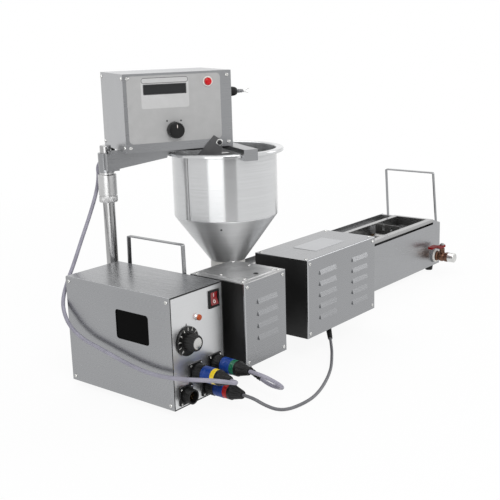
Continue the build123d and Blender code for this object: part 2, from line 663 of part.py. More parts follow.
with BuildPart(DATUM) as bath:
    block(BATH_X0 - BATH_T, BATH_X1 + BATH_T, BATH_Y0 - BATH_T, BATH_Y1 + BATH_T,
          BATH_FLOOR_Z - BATH_T, RIM_Z)
    block(RIM_X0, RIM_X1, TROUGH_Y0, LEDGE_Y1, SHELF_Z, RIM_Z)
    block(RIM_X0, RIM_X1, TROUGH_Y0, TROUGH_Y0 + BATH_T, SKIRT_Z, RIM_Z)
    block(BATH_X0, BATH_X1, LEDGE_Y1 - BATH_T, LEDGE_Y1, TRAY_Z, RIM_Z)
    block(BATH_X0, BATH_X1, LEDGE_Y1 - BATH_T, TRAY_Y1, TRAY_Z - BATH_T, TRAY_Z)
    for end_x in (BATH_X0, BATH_X1 - BATH_T):
        block(end_x, end_x + BATH_T, LEDGE_Y1 - BATH_T, TRAY_Y1, TRAY_Z - BATH_T, SHELF_Z)
    block(BATH_X0, BATH_X1, BATH_Y0, BATH_Y1, BATH_FLOOR_Z, RIM_Z, Mode.SUBTRACT)
    for terminal_x in TERMINAL_XS:
        rod((terminal_x, BATH_Y0 - BATH_T, ELEMENT_Z), BACK, BATH_T, ELEMENT_R + FIT, Mode.SUBTRACT)
    for shaft_x in (FLIPPER_X, EJECTOR_X):
        rod((shaft_x, BATH_Y0 - BATH_T, SHAFT_Z), BACK, BATH_W + 2 * BATH_T, BUSH_R + FIT, Mode.SUBTRACT)
    rod((BATH_X1, OUTLET_Y, OUTLET_Z), (1, 0, 0), BATH_T, PIPE_R + FIT, Mode.SUBTRACT)


def strip_loop(inset, top, bottom):
    """The outline of a handle, set in from its outside; its legs lean together."""
    return ((TROUGH_Y0 + HANDLE_FOOT_IN + inset, bottom), (TROUGH_Y0 + HANDLE_TOP_IN + inset, top),
            (TROUGH_Y1 - HANDLE_TOP_IN - inset, top), (TROUGH_Y1 - HANDLE_FOOT_IN - inset, bottom))


def handle(x, foot_z, lean=0.0, sink=0.0):
    """A carrying loop bent from flat strip, leaning back over the bath."""
    out = (cos(radians(lean)), 0, sin(radians(lean)))
    stand = Plane(origin=place(x, 0, foot_z), x_dir=(0, 1, 0), z_dir=out)
    rise = (HANDLE_Z - foot_z) / cos(radians(lean))
    with BuildSketch(stand) as loop:
        with BuildSketch() as hollow:
            Polygon(*strip_loop(HANDLE_T, rise - HANDLE_T, -sink), align=None)
            fillet(hollow.vertices().group_by(Axis.Y)[-1], HANDLE_BEND - HANDLE_T)
        with BuildSketch() as outside:
            Polygon(*strip_loop(0, rise, -sink), align=None)
            fillet(outside.vertices().group_by(Axis.Y)[-1], HANDLE_BEND)
        add(hollow.sketch, mode=Mode.SUBTRACT)
    with BuildPart() as strip:
        extrude(loop.sketch, amount=HANDLE_W / 2, both=True)
    return strip


left_handle = handle(TROUGH_X0 + HANDLE_IN_X, SHELF_Z)
RIGHT_HANDLE_X = TROUGH_X1 - RIGHT_HANDLE_IN_X
RIGHT_FOOT_Z = END_Z + (SHELF_Z - END_Z) * RIGHT_HANDLE_IN_X / (TROUGH_X1 - SLOPE_X0)
right_handle = handle(RIGHT_HANDLE_X, RIGHT_FOOT_Z, RIGHT_HANDLE_LEAN, HANDLE_SINK)
with BuildSketch(facing_front(TROUGH_Y1)) as under_shelf:
    Polygon((SLOPE_X0, SHELF_Z), (SLOPE_X0, TROUGH_Z0), (TROUGH_X1, TROUGH_Z0), (TROUGH_X1, END_Z),
            align=None)
with right_handle:
    extrude(under_shelf.sketch, amount=TROUGH_W, mode=Mode.SUBTRACT)

with BuildPart(DATUM) as rubber_feet:
    for x in (FOOT_IN, CTRL_W - FOOT_IN):
        for y in (FOOT_IN, CTRL_D - FOOT_IN):
            taper((x, y, -FOOT_H), UP, FOOT_H, FOOT_TIP_R, FOOT_R)
    for x in (TROUGH_X0 + TROUGH_FOOT_INS[0], TROUGH_X1 - TROUGH_FOOT_INS[1]):
        for y in (TROUGH_Y0 + FOOT_R + FOOT_EDGE, TROUGH_Y1 - FOOT_R - FOOT_EDGE):
            taper((x, y, -FOOT_H), UP, FOOT_H + TROUGH_Z0, FOOT_TIP_R, FOOT_R)

# heating element: one hairpin over the bath's floor, its cold ends in the terminal box
ELEMENT_FAR_X = EJECTOR_X + BLADE_R
TERMINAL_Y = TROUGH_Y0 - TERMINAL_IN_Y
element_stops = (
    (TERMINAL_XS[0], TERMINAL_Y, ELEMENT_Z), (TERMINAL_XS[0], ELEMENT_Y1, ELEMENT_Z),
    (ELEMENT_FAR_X, ELEMENT_Y1, ELEMENT_Z), (ELEMENT_FAR_X, ELEMENT_Y0, ELEMENT_Z),
    (TERMINAL_XS[1], ELEMENT_Y0, ELEMENT_Z), (TERMINAL_XS[1], TERMINAL_Y, ELEMENT_Z))
heating_element = tube_along([place(*stop) for stop in element_stops], ELEMENT_BEND, ELEMENT_R)
with heating_element:
    for terminal_x in TERMINAL_XS:
        rod(place(terminal_x, TERMINAL_Y, ELEMENT_Z), FRONT, TERMINAL_IN_Y, TERMINAL_R)

# drain: pipe from the bath's right end to the front, ball valve, lever and outlet cap
pipe_stops = ((BATH_X1, OUTLET_Y, OUTLET_Z), (DRAIN_X, OUTLET_Y, OUTLET_Z),
              (DRAIN_X, BATH_Y0 - BATH_T, DRAIN_Z), (DRAIN_X, TROUGH_Y0 - PIPE_R, DRAIN_Z))
pipe_points = [place(*stop) for stop in pipe_stops]
drain_pipe = tube_along(pipe_points, PIPE_BENDS, PIPE_R)
with drain_pipe:
    rod(place(DRAIN_X, TROUGH_Y0, DRAIN_Z), FRONT, DRAIN_FLANGE_T, DRAIN_FLANGE_R)
    add(tube_along(pipe_points, PIPE_BENDS, PIPE_BORE_R).part, mode=Mode.SUBTRACT)

with BuildPart(DATUM) as valve_body:
    rod((DRAIN_X, VALVE_Y1, DRAIN_Z), FRONT, VALVE_L, VALVE_R)
    rod((DRAIN_X, VALVE_Y0, DRAIN_Z), FRONT, CAP_L - 2 * SHEET, SPIGOT_R)
    with Locations((DRAIN_X, VALVE_Y, DRAIN_Z)):
        Sphere(VALVE_R + VALVE_BULGE)
    rod((DRAIN_X, VALVE_Y, DRAIN_Z), UP, VALVE_NECK_H, VALVE_NECK_R)
    rod((DRAIN_X, VALVE_Y1, DRAIN_Z), FRONT, VALVE_L + CAP_L, PIPE_BORE_R, Mode.SUBTRACT)
    rod((DRAIN_X, VALVE_Y1, DRAIN_Z), FRONT, PIPE_R - DRAIN_FLANGE_T, PIPE_R + FIT, Mode.SUBTRACT)
    with Locations((DRAIN_X, VALVE_Y, DRAIN_Z)):
        Sphere(BALL_R + FIT, mode=Mode.SUBTRACT)
    rod((DRAIN_X, VALVE_Y, DRAIN_Z), UP, VALVE_NECK_H, STEM_R + RUN_FIT, Mode.SUBTRACT)

LEVER_Z = DRAIN_Z + VALVE_NECK_H + 2 * MOVE_GAP + SHEET

with BuildPart(DATUM) as valve_stem:
    with Locations((DRAIN_X, VALVE_Y, DRAIN_Z)):
        Sphere(BALL_R)
    rod((DRAIN_X - BALL_R, VALVE_Y, DRAIN_Z), (1, 0, 0), 2 * BALL_R, BALL_BORE_R, Mode.SUBTRACT)
    rod((DRAIN_X, VALVE_Y, DRAIN_Z + PIPE_BORE_R), UP, STEM_H - PIPE_BORE_R, STEM_R)
    with BuildSketch(Plane(origin=place(DRAIN_X, VALVE_Y, LEVER_Z + LEVER_T))):
        RegularPolygon(STEM_NUT_R, 6)
    extrude(amount=STEM_NUT_H)

LEVER_LEAN = LEVER_T / 3
lever_side = ((LEVER_HEEL, 0), (-LEVER_FLAT, 0), (-LEVER_SLOPE, LEVER_RISE), (-LEVER_L, LEVER_RISE),
              (-LEVER_L, LEVER_RISE + LEVER_T), (-LEVER_SLOPE - LEVER_LEAN, LEVER_RISE + LEVER_T),
              (-LEVER_FLAT - LEVER_LEAN, LEVER_T), (LEVER_HEEL, LEVER_T))
with BuildPart() as valve_lever:
    with BuildSketch(facing_front(VALVE_Y + LEVER_W / 2)):
        with Locations((DRAIN_X, LEVER_Z)):
            Polygon(*lever_side, align=None)
    extrude(amount=LEVER_W)
    fillet(valve_lever.edges().filter_by(Axis.Z), LEVER_W / 3)
    rod(place(DRAIN_X, VALVE_Y, LEVER_Z), UP, LEVER_T, STEM_R + FIT, Mode.SUBTRACT)

with BuildPart(DATUM) as drain_cap:
    rod((DRAIN_X, VALVE_Y0 - FIT, DRAIN_Z), FRONT, CAP_L, CAP_R)
    fillet(drain_cap.edges().filter_by(GeomType.CIRCLE).group_by(Axis.Y)[0], CAP_ROUND)
    rod((DRAIN_X, VALVE_Y0, DRAIN_Z), FRONT, CAP_L - SHEET, SPIGOT_R + FIT, Mode.SUBTRACT)


# flipper and ejector: slotted blades on a hub, shaft in bushes, sprockets and chain in the front gap
def blade_wheel(x, front_y):
    """A hub with slotted blades on a shaft that starts at front_y."""
    with BuildPart(facing_front(BATH_Y)) as wheel:
        with Locations((x, SHAFT_Z, 0)):
            Cylinder(HUB_R, HUB_L)
            with PolarLocations((HUB_R + BLADE_R) / 2, BLADES):
                Box(BLADE_R - HUB_R + BLADE_T, BLADE_T, HUB_L)
            with PolarLocations(BLADE_R - BLADE_SLOT, BLADES):
                with Locations((0, 0, BLADE_SLOT_OFF), (0, 0, -BLADE_SLOT_OFF)):
                    Box(2 * BLADE_SLOT, BLADE_T, BLADE_SLOT, mode=Mode.SUBTRACT)
        back_y = BATH_Y1 + BATH_T + BUSH_L
        with Locations((x, SHAFT_Z, BATH_Y - (front_y + back_y) / 2)):
            Cylinder(SHAFT_R, back_y - front_y)
    return wheel


def sprocket(x):
    """A toothed wheel on a shaft, in the gap between casing and bath."""
    with BuildPart() as wheel:
        with BuildSketch(facing_front(GAP_Y + SPROCKET_T / 2)):
            with Locations((x, SHAFT_Z)):
                Circle(SPROCKET_R)
                with PolarLocations(SPROCKET_R, SPROCKET_TEETH):
                    Circle(ROLLER_R, mode=Mode.SUBTRACT)
                Circle(SHAFT_R + FIT, mode=Mode.SUBTRACT)
        extrude(amount=SPROCKET_T)
    return wheel


flipper_wheel = blade_wheel(FLIPPER_X, TROUGH_Y0 - GEARBOX / 2)
ejector_wheel = blade_wheel(EJECTOR_X, GAP_Y - SPROCKET_T)
flipper_sprocket = sprocket(FLIPPER_X)
ejector_sprocket = sprocket(EJECTOR_X)

CHAIN_IN_R = SPROCKET_R + CHAIN_PLAY
with BuildPart() as drive_chain:
    with BuildSketch(facing_front(GAP_Y + SPROCKET_T / 2 + MOVE_GAP)):
        with Locations(((FLIPPER_X + EJECTOR_X) / 2, SHAFT_Z)):
            SlotCenterToCenter(EJECTOR_X - FLIPPER_X, 2 * (CHAIN_IN_R + CHAIN_T))
            SlotCenterToCenter(EJECTOR_X - FLIPPER_X, 2 * CHAIN_IN_R, mode=Mode.SUBTRACT)
    extrude(amount=SPROCKET_T + 2 * MOVE_GAP)

with BuildPart(DATUM) as shaft_bushes:
    for shaft_x in (FLIPPER_X, EJECTOR_X):
        for wall_y in (BATH_Y0 - BATH_T / 2, BATH_Y1 + BATH_T / 2):
            rod((shaft_x, wall_y - BUSH_L / 2, SHAFT_Z), BACK, BUSH_L, BUSH_R)
            rod((shaft_x, wall_y - BUSH_L / 2, SHAFT_Z), BACK, BUSH_L, SHAFT_R + RUN_FIT, Mode.SUBTRACT)

# exit ramp: a sloping plate with its flange against the bath's right end wall
ramp_side = ((0, 0), (-RAMP_L, -RAMP_DROP), (-RAMP_L, -RAMP_DROP - SHEET), (-SHEET, -SHEET),
             (-SHEET, -RAMP_FLANGE), (0, -RAMP_FLANGE))
with BuildPart() as exit_ramp:
    with BuildSketch(facing_front(BATH_Y1 - RAMP_SIDE)):
        with Locations((BATH_X1, RIM_Z - RAMP_UNDER_RIM)):
            Polygon(*ramp_side, align=None)
    extrude(amount=BATH_W - 2 * RAMP_SIDE)


# drive boxes: painted case open to front and top, louvred front cover, top lid
def box_case(x0, x1):
    """The painted ends, back and bottom of a box."""
    with BuildPart(DATUM) as case:
        block(x0, x1, BOX_Y0 + SHEET, TROUGH_Y0, BOX_Z0, BOX_Z1 - SHEET)
        block(x0 + SHEET, x1 - SHEET, BOX_Y0, TROUGH_Y0 - SHEET, BOX_Z0 + SHEET, BOX_Z1, Mode.SUBTRACT)
    return case


def louvres(columns, rows, top_z):
    """Pressed louvres on the front sheet, open along their lower edge."""
    half = LOUVRE_L / 2
    outer = ((0, LOUVRE_H), (-LOUVRE_OUT, 0), (0, 0))
    inner_top = LOUVRE_H - LOUVRE_LAND
    inner = ((SHEET, inner_top), (0, inner_top), (LOUVRE_SKIN - LOUVRE_OUT, 0), (SHEET, 0))
    for column_x in columns:
        for row in range(rows):
            z = top_z - row * LOUVRE_PITCH - LOUVRE_H
            for profile, inset, mode in ((outer, 0, Mode.ADD), (inner, LOUVRE_SKIN, Mode.SUBTRACT)):
                side = Plane(origin=place(column_x - half + inset, BOX_Y0, z), x_dir=BACK, z_dir=(1, 0, 0))
                with BuildSketch(side) as section:
                    Polygon(*profile, align=None)
                extrude(section.sketch, amount=LOUVRE_L - 2 * inset, mode=mode)


terminal_columns = [TERMINAL_BOX_X0 + column for column in TERMINAL_LOUVRE_INS]
drive_columns = [DRIVE_BOX_X0 + column for column in DRIVE_LOUVRE_INS]

terminal_box_case = box_case(TERMINAL_BOX_X0, TERMINAL_BOX_X1)
with terminal_box_case:
    for terminal_x in TERMINAL_XS:
        rod((terminal_x, TROUGH_Y0, ELEMENT_Z), FRONT, SHEET, ELEMENT_R + FIT, Mode.SUBTRACT)

with BuildPart(DATUM) as terminal_box_cover:
    block(TERMINAL_BOX_X0, TERMINAL_BOX_X1, BOX_Y0, BOX_Y0 + SHEET, BOX_Z0, BOX_Z1 - SHEET)
    louvres(terminal_columns, TERMINAL_LOUVRE_ROWS, BOX_Z1 - TERMINAL_LOUVRE_DROP)

with BuildPart(DATUM) as terminal_box_lid:
    block(TERMINAL_BOX_X0, TERMINAL_BOX_X1, BOX_Y0, TROUGH_Y0, BOX_Z1 - SHEET, BOX_Z1)
    block(TERMINAL_BOX_X0 + EMBOSS_IN, TERMINAL_BOX_X1 - EMBOSS_IN,
          BOX_Y0 + EMBOSS_FRONT_IN, TROUGH_Y0 - EMBOSS_IN, BOX_Z1, BOX_Z1 + EMBOSS)
    rod((TERMINAL_BOX_X0 + LID_HOLE_IN[0], BOX_Y0 + LID_HOLE_IN[1], BOX_Z1), DOWN, SHEET, LID_HOLE_R,
        Mode.SUBTRACT)

drive_box_case = box_case(DRIVE_BOX_X0, DRIVE_BOX_X1)
with drive_box_case:
    rod((FLIPPER_X, TROUGH_Y0, SHAFT_Z), FRONT, SHEET, SHAFT_R + SHAFT_CLEAR, Mode.SUBTRACT)

with BuildPart(DATUM) as drive_box_cover:
    block(DRIVE_BOX_X0, DRIVE_BOX_X1, BOX_Y0, TROUGH_Y0, BOX_Z0, BOX_Z1)
    fillet(drive_box_cover.edges().filter_by(Axis.X).group_by(Axis.Y)[0].group_by(Axis.Z)[-1], BEND_R)
    block(DRIVE_BOX_X0, DRIVE_BOX_X1, BOX_Y0 + SHEET, TROUGH_Y0, BOX_Z0, BOX_Z1 - SHEET, Mode.SUBTRACT)
    louvres(drive_columns, DRIVE_LOUVRE_ROWS, BOX_Z1 - DRIVE_LOUVRE_DROP)

with BuildPart(DATUM) as gear_motor:
    block(FLIPPER_X - GEARBOX / 2, FLIPPER_X + GEARBOX / 2, TROUGH_Y0 - SHEET - GEARBOX, TROUGH_Y0 - SHEET,
          SHAFT_Z - GEARBOX / 2, SHAFT_Z + GEARBOX / 2)
    rod((FLIPPER_X - GEARBOX / 2, TROUGH_Y0 - SHEET - GEARBOX / 2, SHAFT_Z), (-1, 0, 0), MOTOR_L, MOTOR_R)
    rod((FLIPPER_X, TROUGH_Y0 - SHEET, SHAFT_Z), FRONT, GEARBOX, SHAFT_R + RUN_FIT, Mode.SUBTRACT)

# strain reliefs: (nut position, way the cable leaves, length)
HEATER_GLAND = ((TERMINAL_BOX_X0 + HEATER_GLAND_IN[0], BOX_Y0 + HEATER_GLAND_IN[1], BOX_Z0),
                Vector(-0.08, -0.93, -0.35), HEATER_RELIEF_L)
DRIVE_GLAND = ((DRIVE_BOX_X0 + DRIVE_GLAND_IN[0], BOX_Y0 + DRIVE_GLAND_IN[1], BOX_Z0),
               Vector(-0.68, -0.593, -0.434), DRIVE_RELIEF_L)
HEAD_GLAND_WAY = Vector(-0.75, 0.2, -0.63)


def relief_exit(gland, beyond=0.0):
    """A point on the line a box's strain relief points along, from its tip outwards."""
    (x, y, z), way, length = gland
    tip = Vector(x, y, z - RELIEF_DEEP) + way.normalized() * (length + beyond)
    return (tip.X, tip.Y, tip.Z)


with BuildPart(DATUM) as cable_glands:
    for (x, y, z), way, length in (HEATER_GLAND, DRIVE_GLAND):
        rod((x, y, z), DOWN, GLAND_H, GLAND_R)
        taper((x, y, z - RELIEF_DEEP), way, length, RELIEF_R, RELIEF_TIP_R)
        reach = 2 * GLAND_R
        block(x - reach, x + reach, y - reach, y + reach, z, z + GLAND_R, Mode.SUBTRACT)

# post in its bracket on the trough's back wall, collar that carries the arm
BRACKET_X0 = TROUGH_X0 + SHEET
BRACKET_X1 = BRACKET_X0 + BRACKET_L
HOLD_R = SLEEVE_R - FIT
sleeve_holds = [(POST_X + HOLD_R * cos(radians(turn)), POST_Y + HOLD_R * sin(radians(turn)))
                for turn in BRACKET_HOLDS]
bracket_web = ((BRACKET_X0, TROUGH_Y1), (BRACKET_X1, TROUGH_Y1), *sleeve_holds,
               (BRACKET_X0, CTRL_D + BRACKET_CLEAR))

with BuildPart(DATUM) as post_bracket:
    block(BRACKET_X0, BRACKET_X1, TROUGH_Y1, TROUGH_Y1 + BRACKET_T, TROUGH_Z0, SLEEVE_Z1)
    for web_z in (TROUGH_Z0, SLEEVE_Z1 - 2 * BRACKET_T):
        with BuildSketch(Plane(origin=place(0, 0, web_z))):
            Polygon(*bracket_web, align=None)
        extrude(amount=BRACKET_T)
    rod((POST_X, POST_Y, TROUGH_Z0), UP, SLEEVE_Z1 - TROUGH_Z0, SLEEVE_R)
    rod((POST_X, POST_Y, TROUGH_Z0 + BRACKET_T), UP, SLEEVE_Z1, POST_R + FIT, Mode.SUBTRACT)

with BuildPart(DATUM) as post:
    rod((POST_X, POST_Y, TROUGH_Z0 + BRACKET_T), UP, HUB_Z1 - TROUGH_Z0 - BRACKET_T, POST_R)
    rod((POST_X, POST_Y, HUB_Z1), UP, POST_TOP_H, POST_TOP_R)
    fillet(post.edges().filter_by(GeomType.CIRCLE).group_by(Axis.Z)[-1], POST_TOP_ROUND)

with BuildPart(DATUM) as lock_collar:
    rod((POST_X, POST_Y, COLLAR_Z0), UP, COLLAR_KNURL_H, COLLAR_R)
    rod((POST_X, POST_Y, COLLAR_Z0 + COLLAR_KNURL_H), UP, COLLAR_GROOVE_H, COLLAR_R - COLLAR_GROOVE_D)
    rod((POST_X, POST_Y, COLLAR_Z0 + COLLAR_KNURL_H + COLLAR_GROOVE_H), UP,
        COLLAR_H - COLLAR_KNURL_H - COLLAR_GROOVE_H, COLLAR_R)
    rod((POST_X, POST_Y, COLLAR_Z1), UP, COLLAR_BOSS_H, COLLAR_BOSS_R)
    rod((POST_X, POST_Y, COLLAR_Z0), UP, COLLAR_H + COLLAR_BOSS_H, POST_R + FIT, Mode.SUBTRACT)

# swing arm: hub on the post, bar beside it, crossbar over the hopper with a hook at each end
ARM_TIP_A = HOPPER_A - LIP_R - LIP_GAP
arm_side = ((0, ARM_ROOT_Z), (HUB_OUT_R, ARM_ROOT_Z + ARM_ROOT_STEP), (ARM_TIP_A - ARM_TIP_RUN, ARM_TIP_Z),
            (ARM_TIP_A, CROSSBAR_Z0), (CROSSBAR_A0, CROSSBAR_Z0), (CROSSBAR_A0, ARM_TOP_Z), (0, ARM_TOP_Z))
arm_face = Plane(origin=ARM.from_local_coords((0, ARM_B1, 0)), x_dir=ARM.x_dir, z_dir=-ARM.y_dir)
HOOK_IN = LIP_R + HOOK_GAP
HOOK_OUT = HOOK_IN + HOOK_T

with BuildPart(ARM) as swing_arm:
    rod((0, 0, HUB_Z0), UP, HUB_Z1 - HUB_Z0, HUB_OUT_R)
    block(-HUB_OUT_R / 2, HUB_OUT_R, ARM_B0, 0, ARM_ROOT_Z, HUB_Z1)
    with BuildSketch(arm_face):
        Polygon(*arm_side, align=None)
    extrude(amount=ARM_B1 - ARM_B0)
    block(CROSSBAR_A0, CROSSBAR_A1, HOPPER_B - HOOK_OUT, HOPPER_B + HOOK_OUT, CROSSBAR_Z0, ARM_TOP_Z)
    for side in (-1, 1):
        hook_near, hook_far = sorted((HOPPER_B + side * HOOK_IN, HOPPER_B + side * HOOK_OUT))
        block(CROSSBAR_A0, CROSSBAR_A1, hook_near, hook_far, LIP_Z0 - BRACKET_T, ARM_TOP_Z)
        toe_near, toe_far = sorted((HOPPER_B + side * (HOPPER_R + TOE_GAP), HOPPER_B + side * HOOK_IN))
        block(CROSSBAR_A0, CROSSBAR_A1, toe_near, toe_far, LIP_Z0 - BRACKET_T, LIP_Z0)
    rod((0, 0, HUB_Z0), UP, HUB_Z1 - HUB_Z0, POST_R + RUN_FIT, Mode.SUBTRACT)
    rod((LINK_A, HOPPER_B, CROSSBAR_Z0), UP, CROSSBAR_T, ROD_R + RUN_FIT, Mode.SUBTRACT)

# hopper, dispensing cylinder and plunger
hopper_axis = ARM.from_local_coords((HOPPER_A, HOPPER_B, 0))
hopper_side = Plane(origin=hopper_axis, x_dir=(1, 0, 0), z_dir=(0, -1, 0))
HOPPER_IN_R = HOPPER_R - HOPPER_T
LIP_IN_R = LIP_R - HOPPER_T
CONE_IN_R0 = CONE_R0 - 1.25 * HOPPER_T
hopper_wall = ((HOPPER_IN_R, HOPPER_TOP_Z), (LIP_R, HOPPER_TOP_Z), (LIP_R, LIP_Z0), (LIP_IN_R, LIP_Z0),
               (LIP_IN_R, HOPPER_TOP_Z - HOPPER_T), (HOPPER_R, HOPPER_TOP_Z - HOPPER_T), (HOPPER_R, CONE_Z1),
               (CONE_R0, CONE_Z0), (CONE_IN_R0, CONE_Z0), (HOPPER_IN_R, CONE_Z1 + HOPPER_T / 2))
with BuildPart() as hopper:
    with BuildSketch(hopper_side):
        Polygon(*hopper_wall, align=None)
    revolve(axis=Axis(hopper_axis, UP))

with BuildPart(ARM) as dispenser_cylinder:
    rod((HOPPER_A, HOPPER_B, NECK_Z0), UP, CONE_Z0 - NECK_Z0, NECK_R)
    rod((HOPPER_A, HOPPER_B, NECK_Z0), UP, CONE_Z0 - NECK_Z0, PISTON_R + 2 * RUN_FIT, Mode.SUBTRACT)
    with Locations((HOPPER_A, HOPPER_B, CONE_Z0 - FUNNEL_H)):
        Cone(PISTON_R, CONE_R0 - 1.5 * HOPPER_T, FUNNEL_H, align=FROM_BASE, mode=Mode.SUBTRACT)

PISTON_Z0 = NECK_Z0 + PISTON_UP
with BuildPart(ARM) as plunger:
    rod((HOPPER_A, HOPPER_B, PISTON_Z0), UP, PISTON_H, PISTON_R)
    rod((HOPPER_A, HOPPER_B, PISTON_Z0), UP, LINK_Z - PISTON_Z0, ROD_R)
    block(LINK_A - 2 * ROD_R, HOPPER_A + 2 * ROD_R, HOPPER_B - 1.5 * ROD_R, HOPPER_B + 1.5 * ROD_R,
          LINK_Z, LINK_Z + LINK_H)
    rod((LINK_A, HOPPER_B, LINK_Z), UP, DRIVE_ROD_Z1 - LINK_Z, ROD_R)

# dosing head: folded case, front panel with its controls, drive inside
with BuildPart(ARM) as head_case:
    block(HEAD_A0, HEAD_A1, HEAD_B0 + SHEET, HEAD_B1, HEAD_Z0, HEAD_Z1)
    block(HEAD_A0 + SHEET, HEAD_A1 - SHEET, HEAD_B0, HEAD_B1 - SHEET, HEAD_Z0 + SHEET, HEAD_Z1 - SHEET,
          Mode.SUBTRACT)
    rod((LINK_A, HOPPER_B, HEAD_Z0), UP, SHEET, ROD_R + ROD_CLEAR, Mode.SUBTRACT)

with BuildPart(ARM) as head_panel:
    block(HEAD_A0, HEAD_A1, HEAD_B0, HEAD_B0 + SHEET, HEAD_Z0, HEAD_Z1)
    with BuildSketch(HEAD_FACE):
        with Locations(DISPLAY_AT):
            Rectangle(DISPLAY_W, DISPLAY_H)
        with Locations(BUTTON_AT):
            Circle(BUTTON_R + BUTTON_WALL)
        with Locations(KNOB_AT):
            Circle(DIAL_SHAFT_R + RUN_FIT)
    extrude(amount=-SHEET, mode=Mode.SUBTRACT)

with BuildPart() as display_window:
    with BuildSketch(HEAD_FACE.offset(-DISPLAY_SINK)):
        with Locations(DISPLAY_AT):
            Rectangle(DISPLAY_W - 2 * FIT, DISPLAY_H - 2 * FIT)
    extrude(amount=-DISPLAY_T)

head_out = Axis(HEAD_FACE.origin, HEAD_FACE.z_dir)
with BuildPart(HEAD_FACE) as head_knob:
    with Locations((*KNOB_AT, KNOB_GAP)):
        Cylinder(KNOB_R, KNOB_OUT - KNOB_GAP, align=FROM_BASE)
    fillet(head_knob.edges().filter_by(GeomType.CIRCLE).sort_by(head_out)[-1], KNOB_ROUND)
    with Locations((*KNOB_AT, -DIAL_SHAFT_IN)):
        Cylinder(DIAL_SHAFT_R, DIAL_SHAFT_IN + KNOB_GAP, align=FROM_BASE)

with BuildPart(HEAD_FACE) as button_bezel:
    with Locations((*BUTTON_AT, 0)):
        Cylinder(BEZEL_R, BEZEL_OUT, align=FROM_BASE)
    with Locations((*BUTTON_AT, -DIAL_SHAFT_IN)):
        Cylinder(BUTTON_R + BUTTON_WALL - FIT, DIAL_SHAFT_IN, align=FROM_BASE)
        Cylinder(BUTTON_R + RUN_FIT, DIAL_SHAFT_IN + BEZEL_OUT, align=FROM_BASE, mode=Mode.SUBTRACT)

with BuildPart(HEAD_FACE) as start_button:
    with Locations((*BUTTON_AT, BUTTON_TRAVEL - DIAL_SHAFT_IN)):
        Cylinder(BUTTON_R, DIAL_SHAFT_IN - BUTTON_TRAVEL + BUTTON_OUT, align=FROM_BASE)
    fillet(start_button.edges().filter_by(GeomType.CIRCLE).sort_by(head_out)[-1], BUTTON_ROUND)

HEAD_GLAND_A = HEAD_A0 + HEAD_GLAND_IN
HEAD_GLAND_B = HEAD_B1 - HEAD_GLAND_BACK_IN
HEAD_GLAND_FROM = ARM.from_local_coords((HEAD_GLAND_A, HEAD_GLAND_B, HEAD_Z0 - RELIEF_DEEP))

with BuildPart() as head_gland:
    with BuildSketch(HEAD_RIGHT):
        with Locations(SIDE_GLAND_AT):
            Circle(GLAND_R + SIDE_GLAND_RING)
    extrude(amount=GLAND_H / 2)
    with Locations(HEAD_RIGHT.offset(GLAND_H / 2)):
        with Locations((*SIDE_GLAND_AT, 0)):
            Cone(GLAND_R, RELIEF_R, 2 * GLAND_H, align=FROM_BASE)
            Cylinder(RELIEF_TIP_R, 4 * GLAND_H, align=FROM_BASE)
    rod(ARM.from_local_coords((HEAD_GLAND_A, HEAD_GLAND_B, HEAD_Z0)), DOWN, GLAND_H, GLAND_R)
    taper(HEAD_GLAND_FROM, HEAD_GLAND_WAY, HEAD_RELIEF_L, RELIEF_R, RELIEF_TIP_R)

with BuildPart(ARM) as dosing_motor:
    block(LINK_A - DOSING_BOX_LEFT, LINK_A + DOSING_BOX_RIGHT,
          HOPPER_B - DOSING_BOX_W / 2, HOPPER_B + DOSING_BOX_W / 2,
          HEAD_Z0 + SHEET, HEAD_Z0 + SHEET + DOSING_BOX_H)
    rod((LINK_A - DOSING_BOX_LEFT, HOPPER_B, HEAD_Z0 + DOSING_MOTOR_UP), (-1, 0, 0), DOSING_MOTOR_L,
        DOSING_MOTOR_R)
    rod((LINK_A, HOPPER_B, HEAD_Z0), UP, DRIVE_ROD_UP + ROD_HEADROOM, ROD_R + MOVE_GAP, Mode.SUBTRACT)

# bolted plate on the head's front, reaching down into the hopper
with BuildPart() as guide_plate:
    with BuildSketch(HEAD_FACE):
        with Locations(BOLT_AT):
            Polygon(*PLATE_OUTLINE, align=None)
    extrude(amount=PLATE_T)
    with BuildSketch(HEAD_FACE.offset(PLATE_T)):
        with Locations(BOLT_AT):
            RegularPolygon(BOLT_R, 6)
    extrude(amount=SCREW_H)


# pan heads of the cover screws: one node for the boxes, one for the head
def screw_heads(seats):
    """Pan heads at points on planes."""
    with BuildPart() as heads:
        for plane, points in seats:
            with BuildSketch(plane):
                with Locations(*points):
                    Circle(SCREW_R)
            extrude(amount=SCREW_H, taper=30)
    return heads


def corners(x0, x1, z0, z1, inset):
    """Four points near the corners of a rectangle."""
    return [(x, z) for x in (x0 + inset, x1 - inset) for z in (z0 + inset, z1 - inset)]


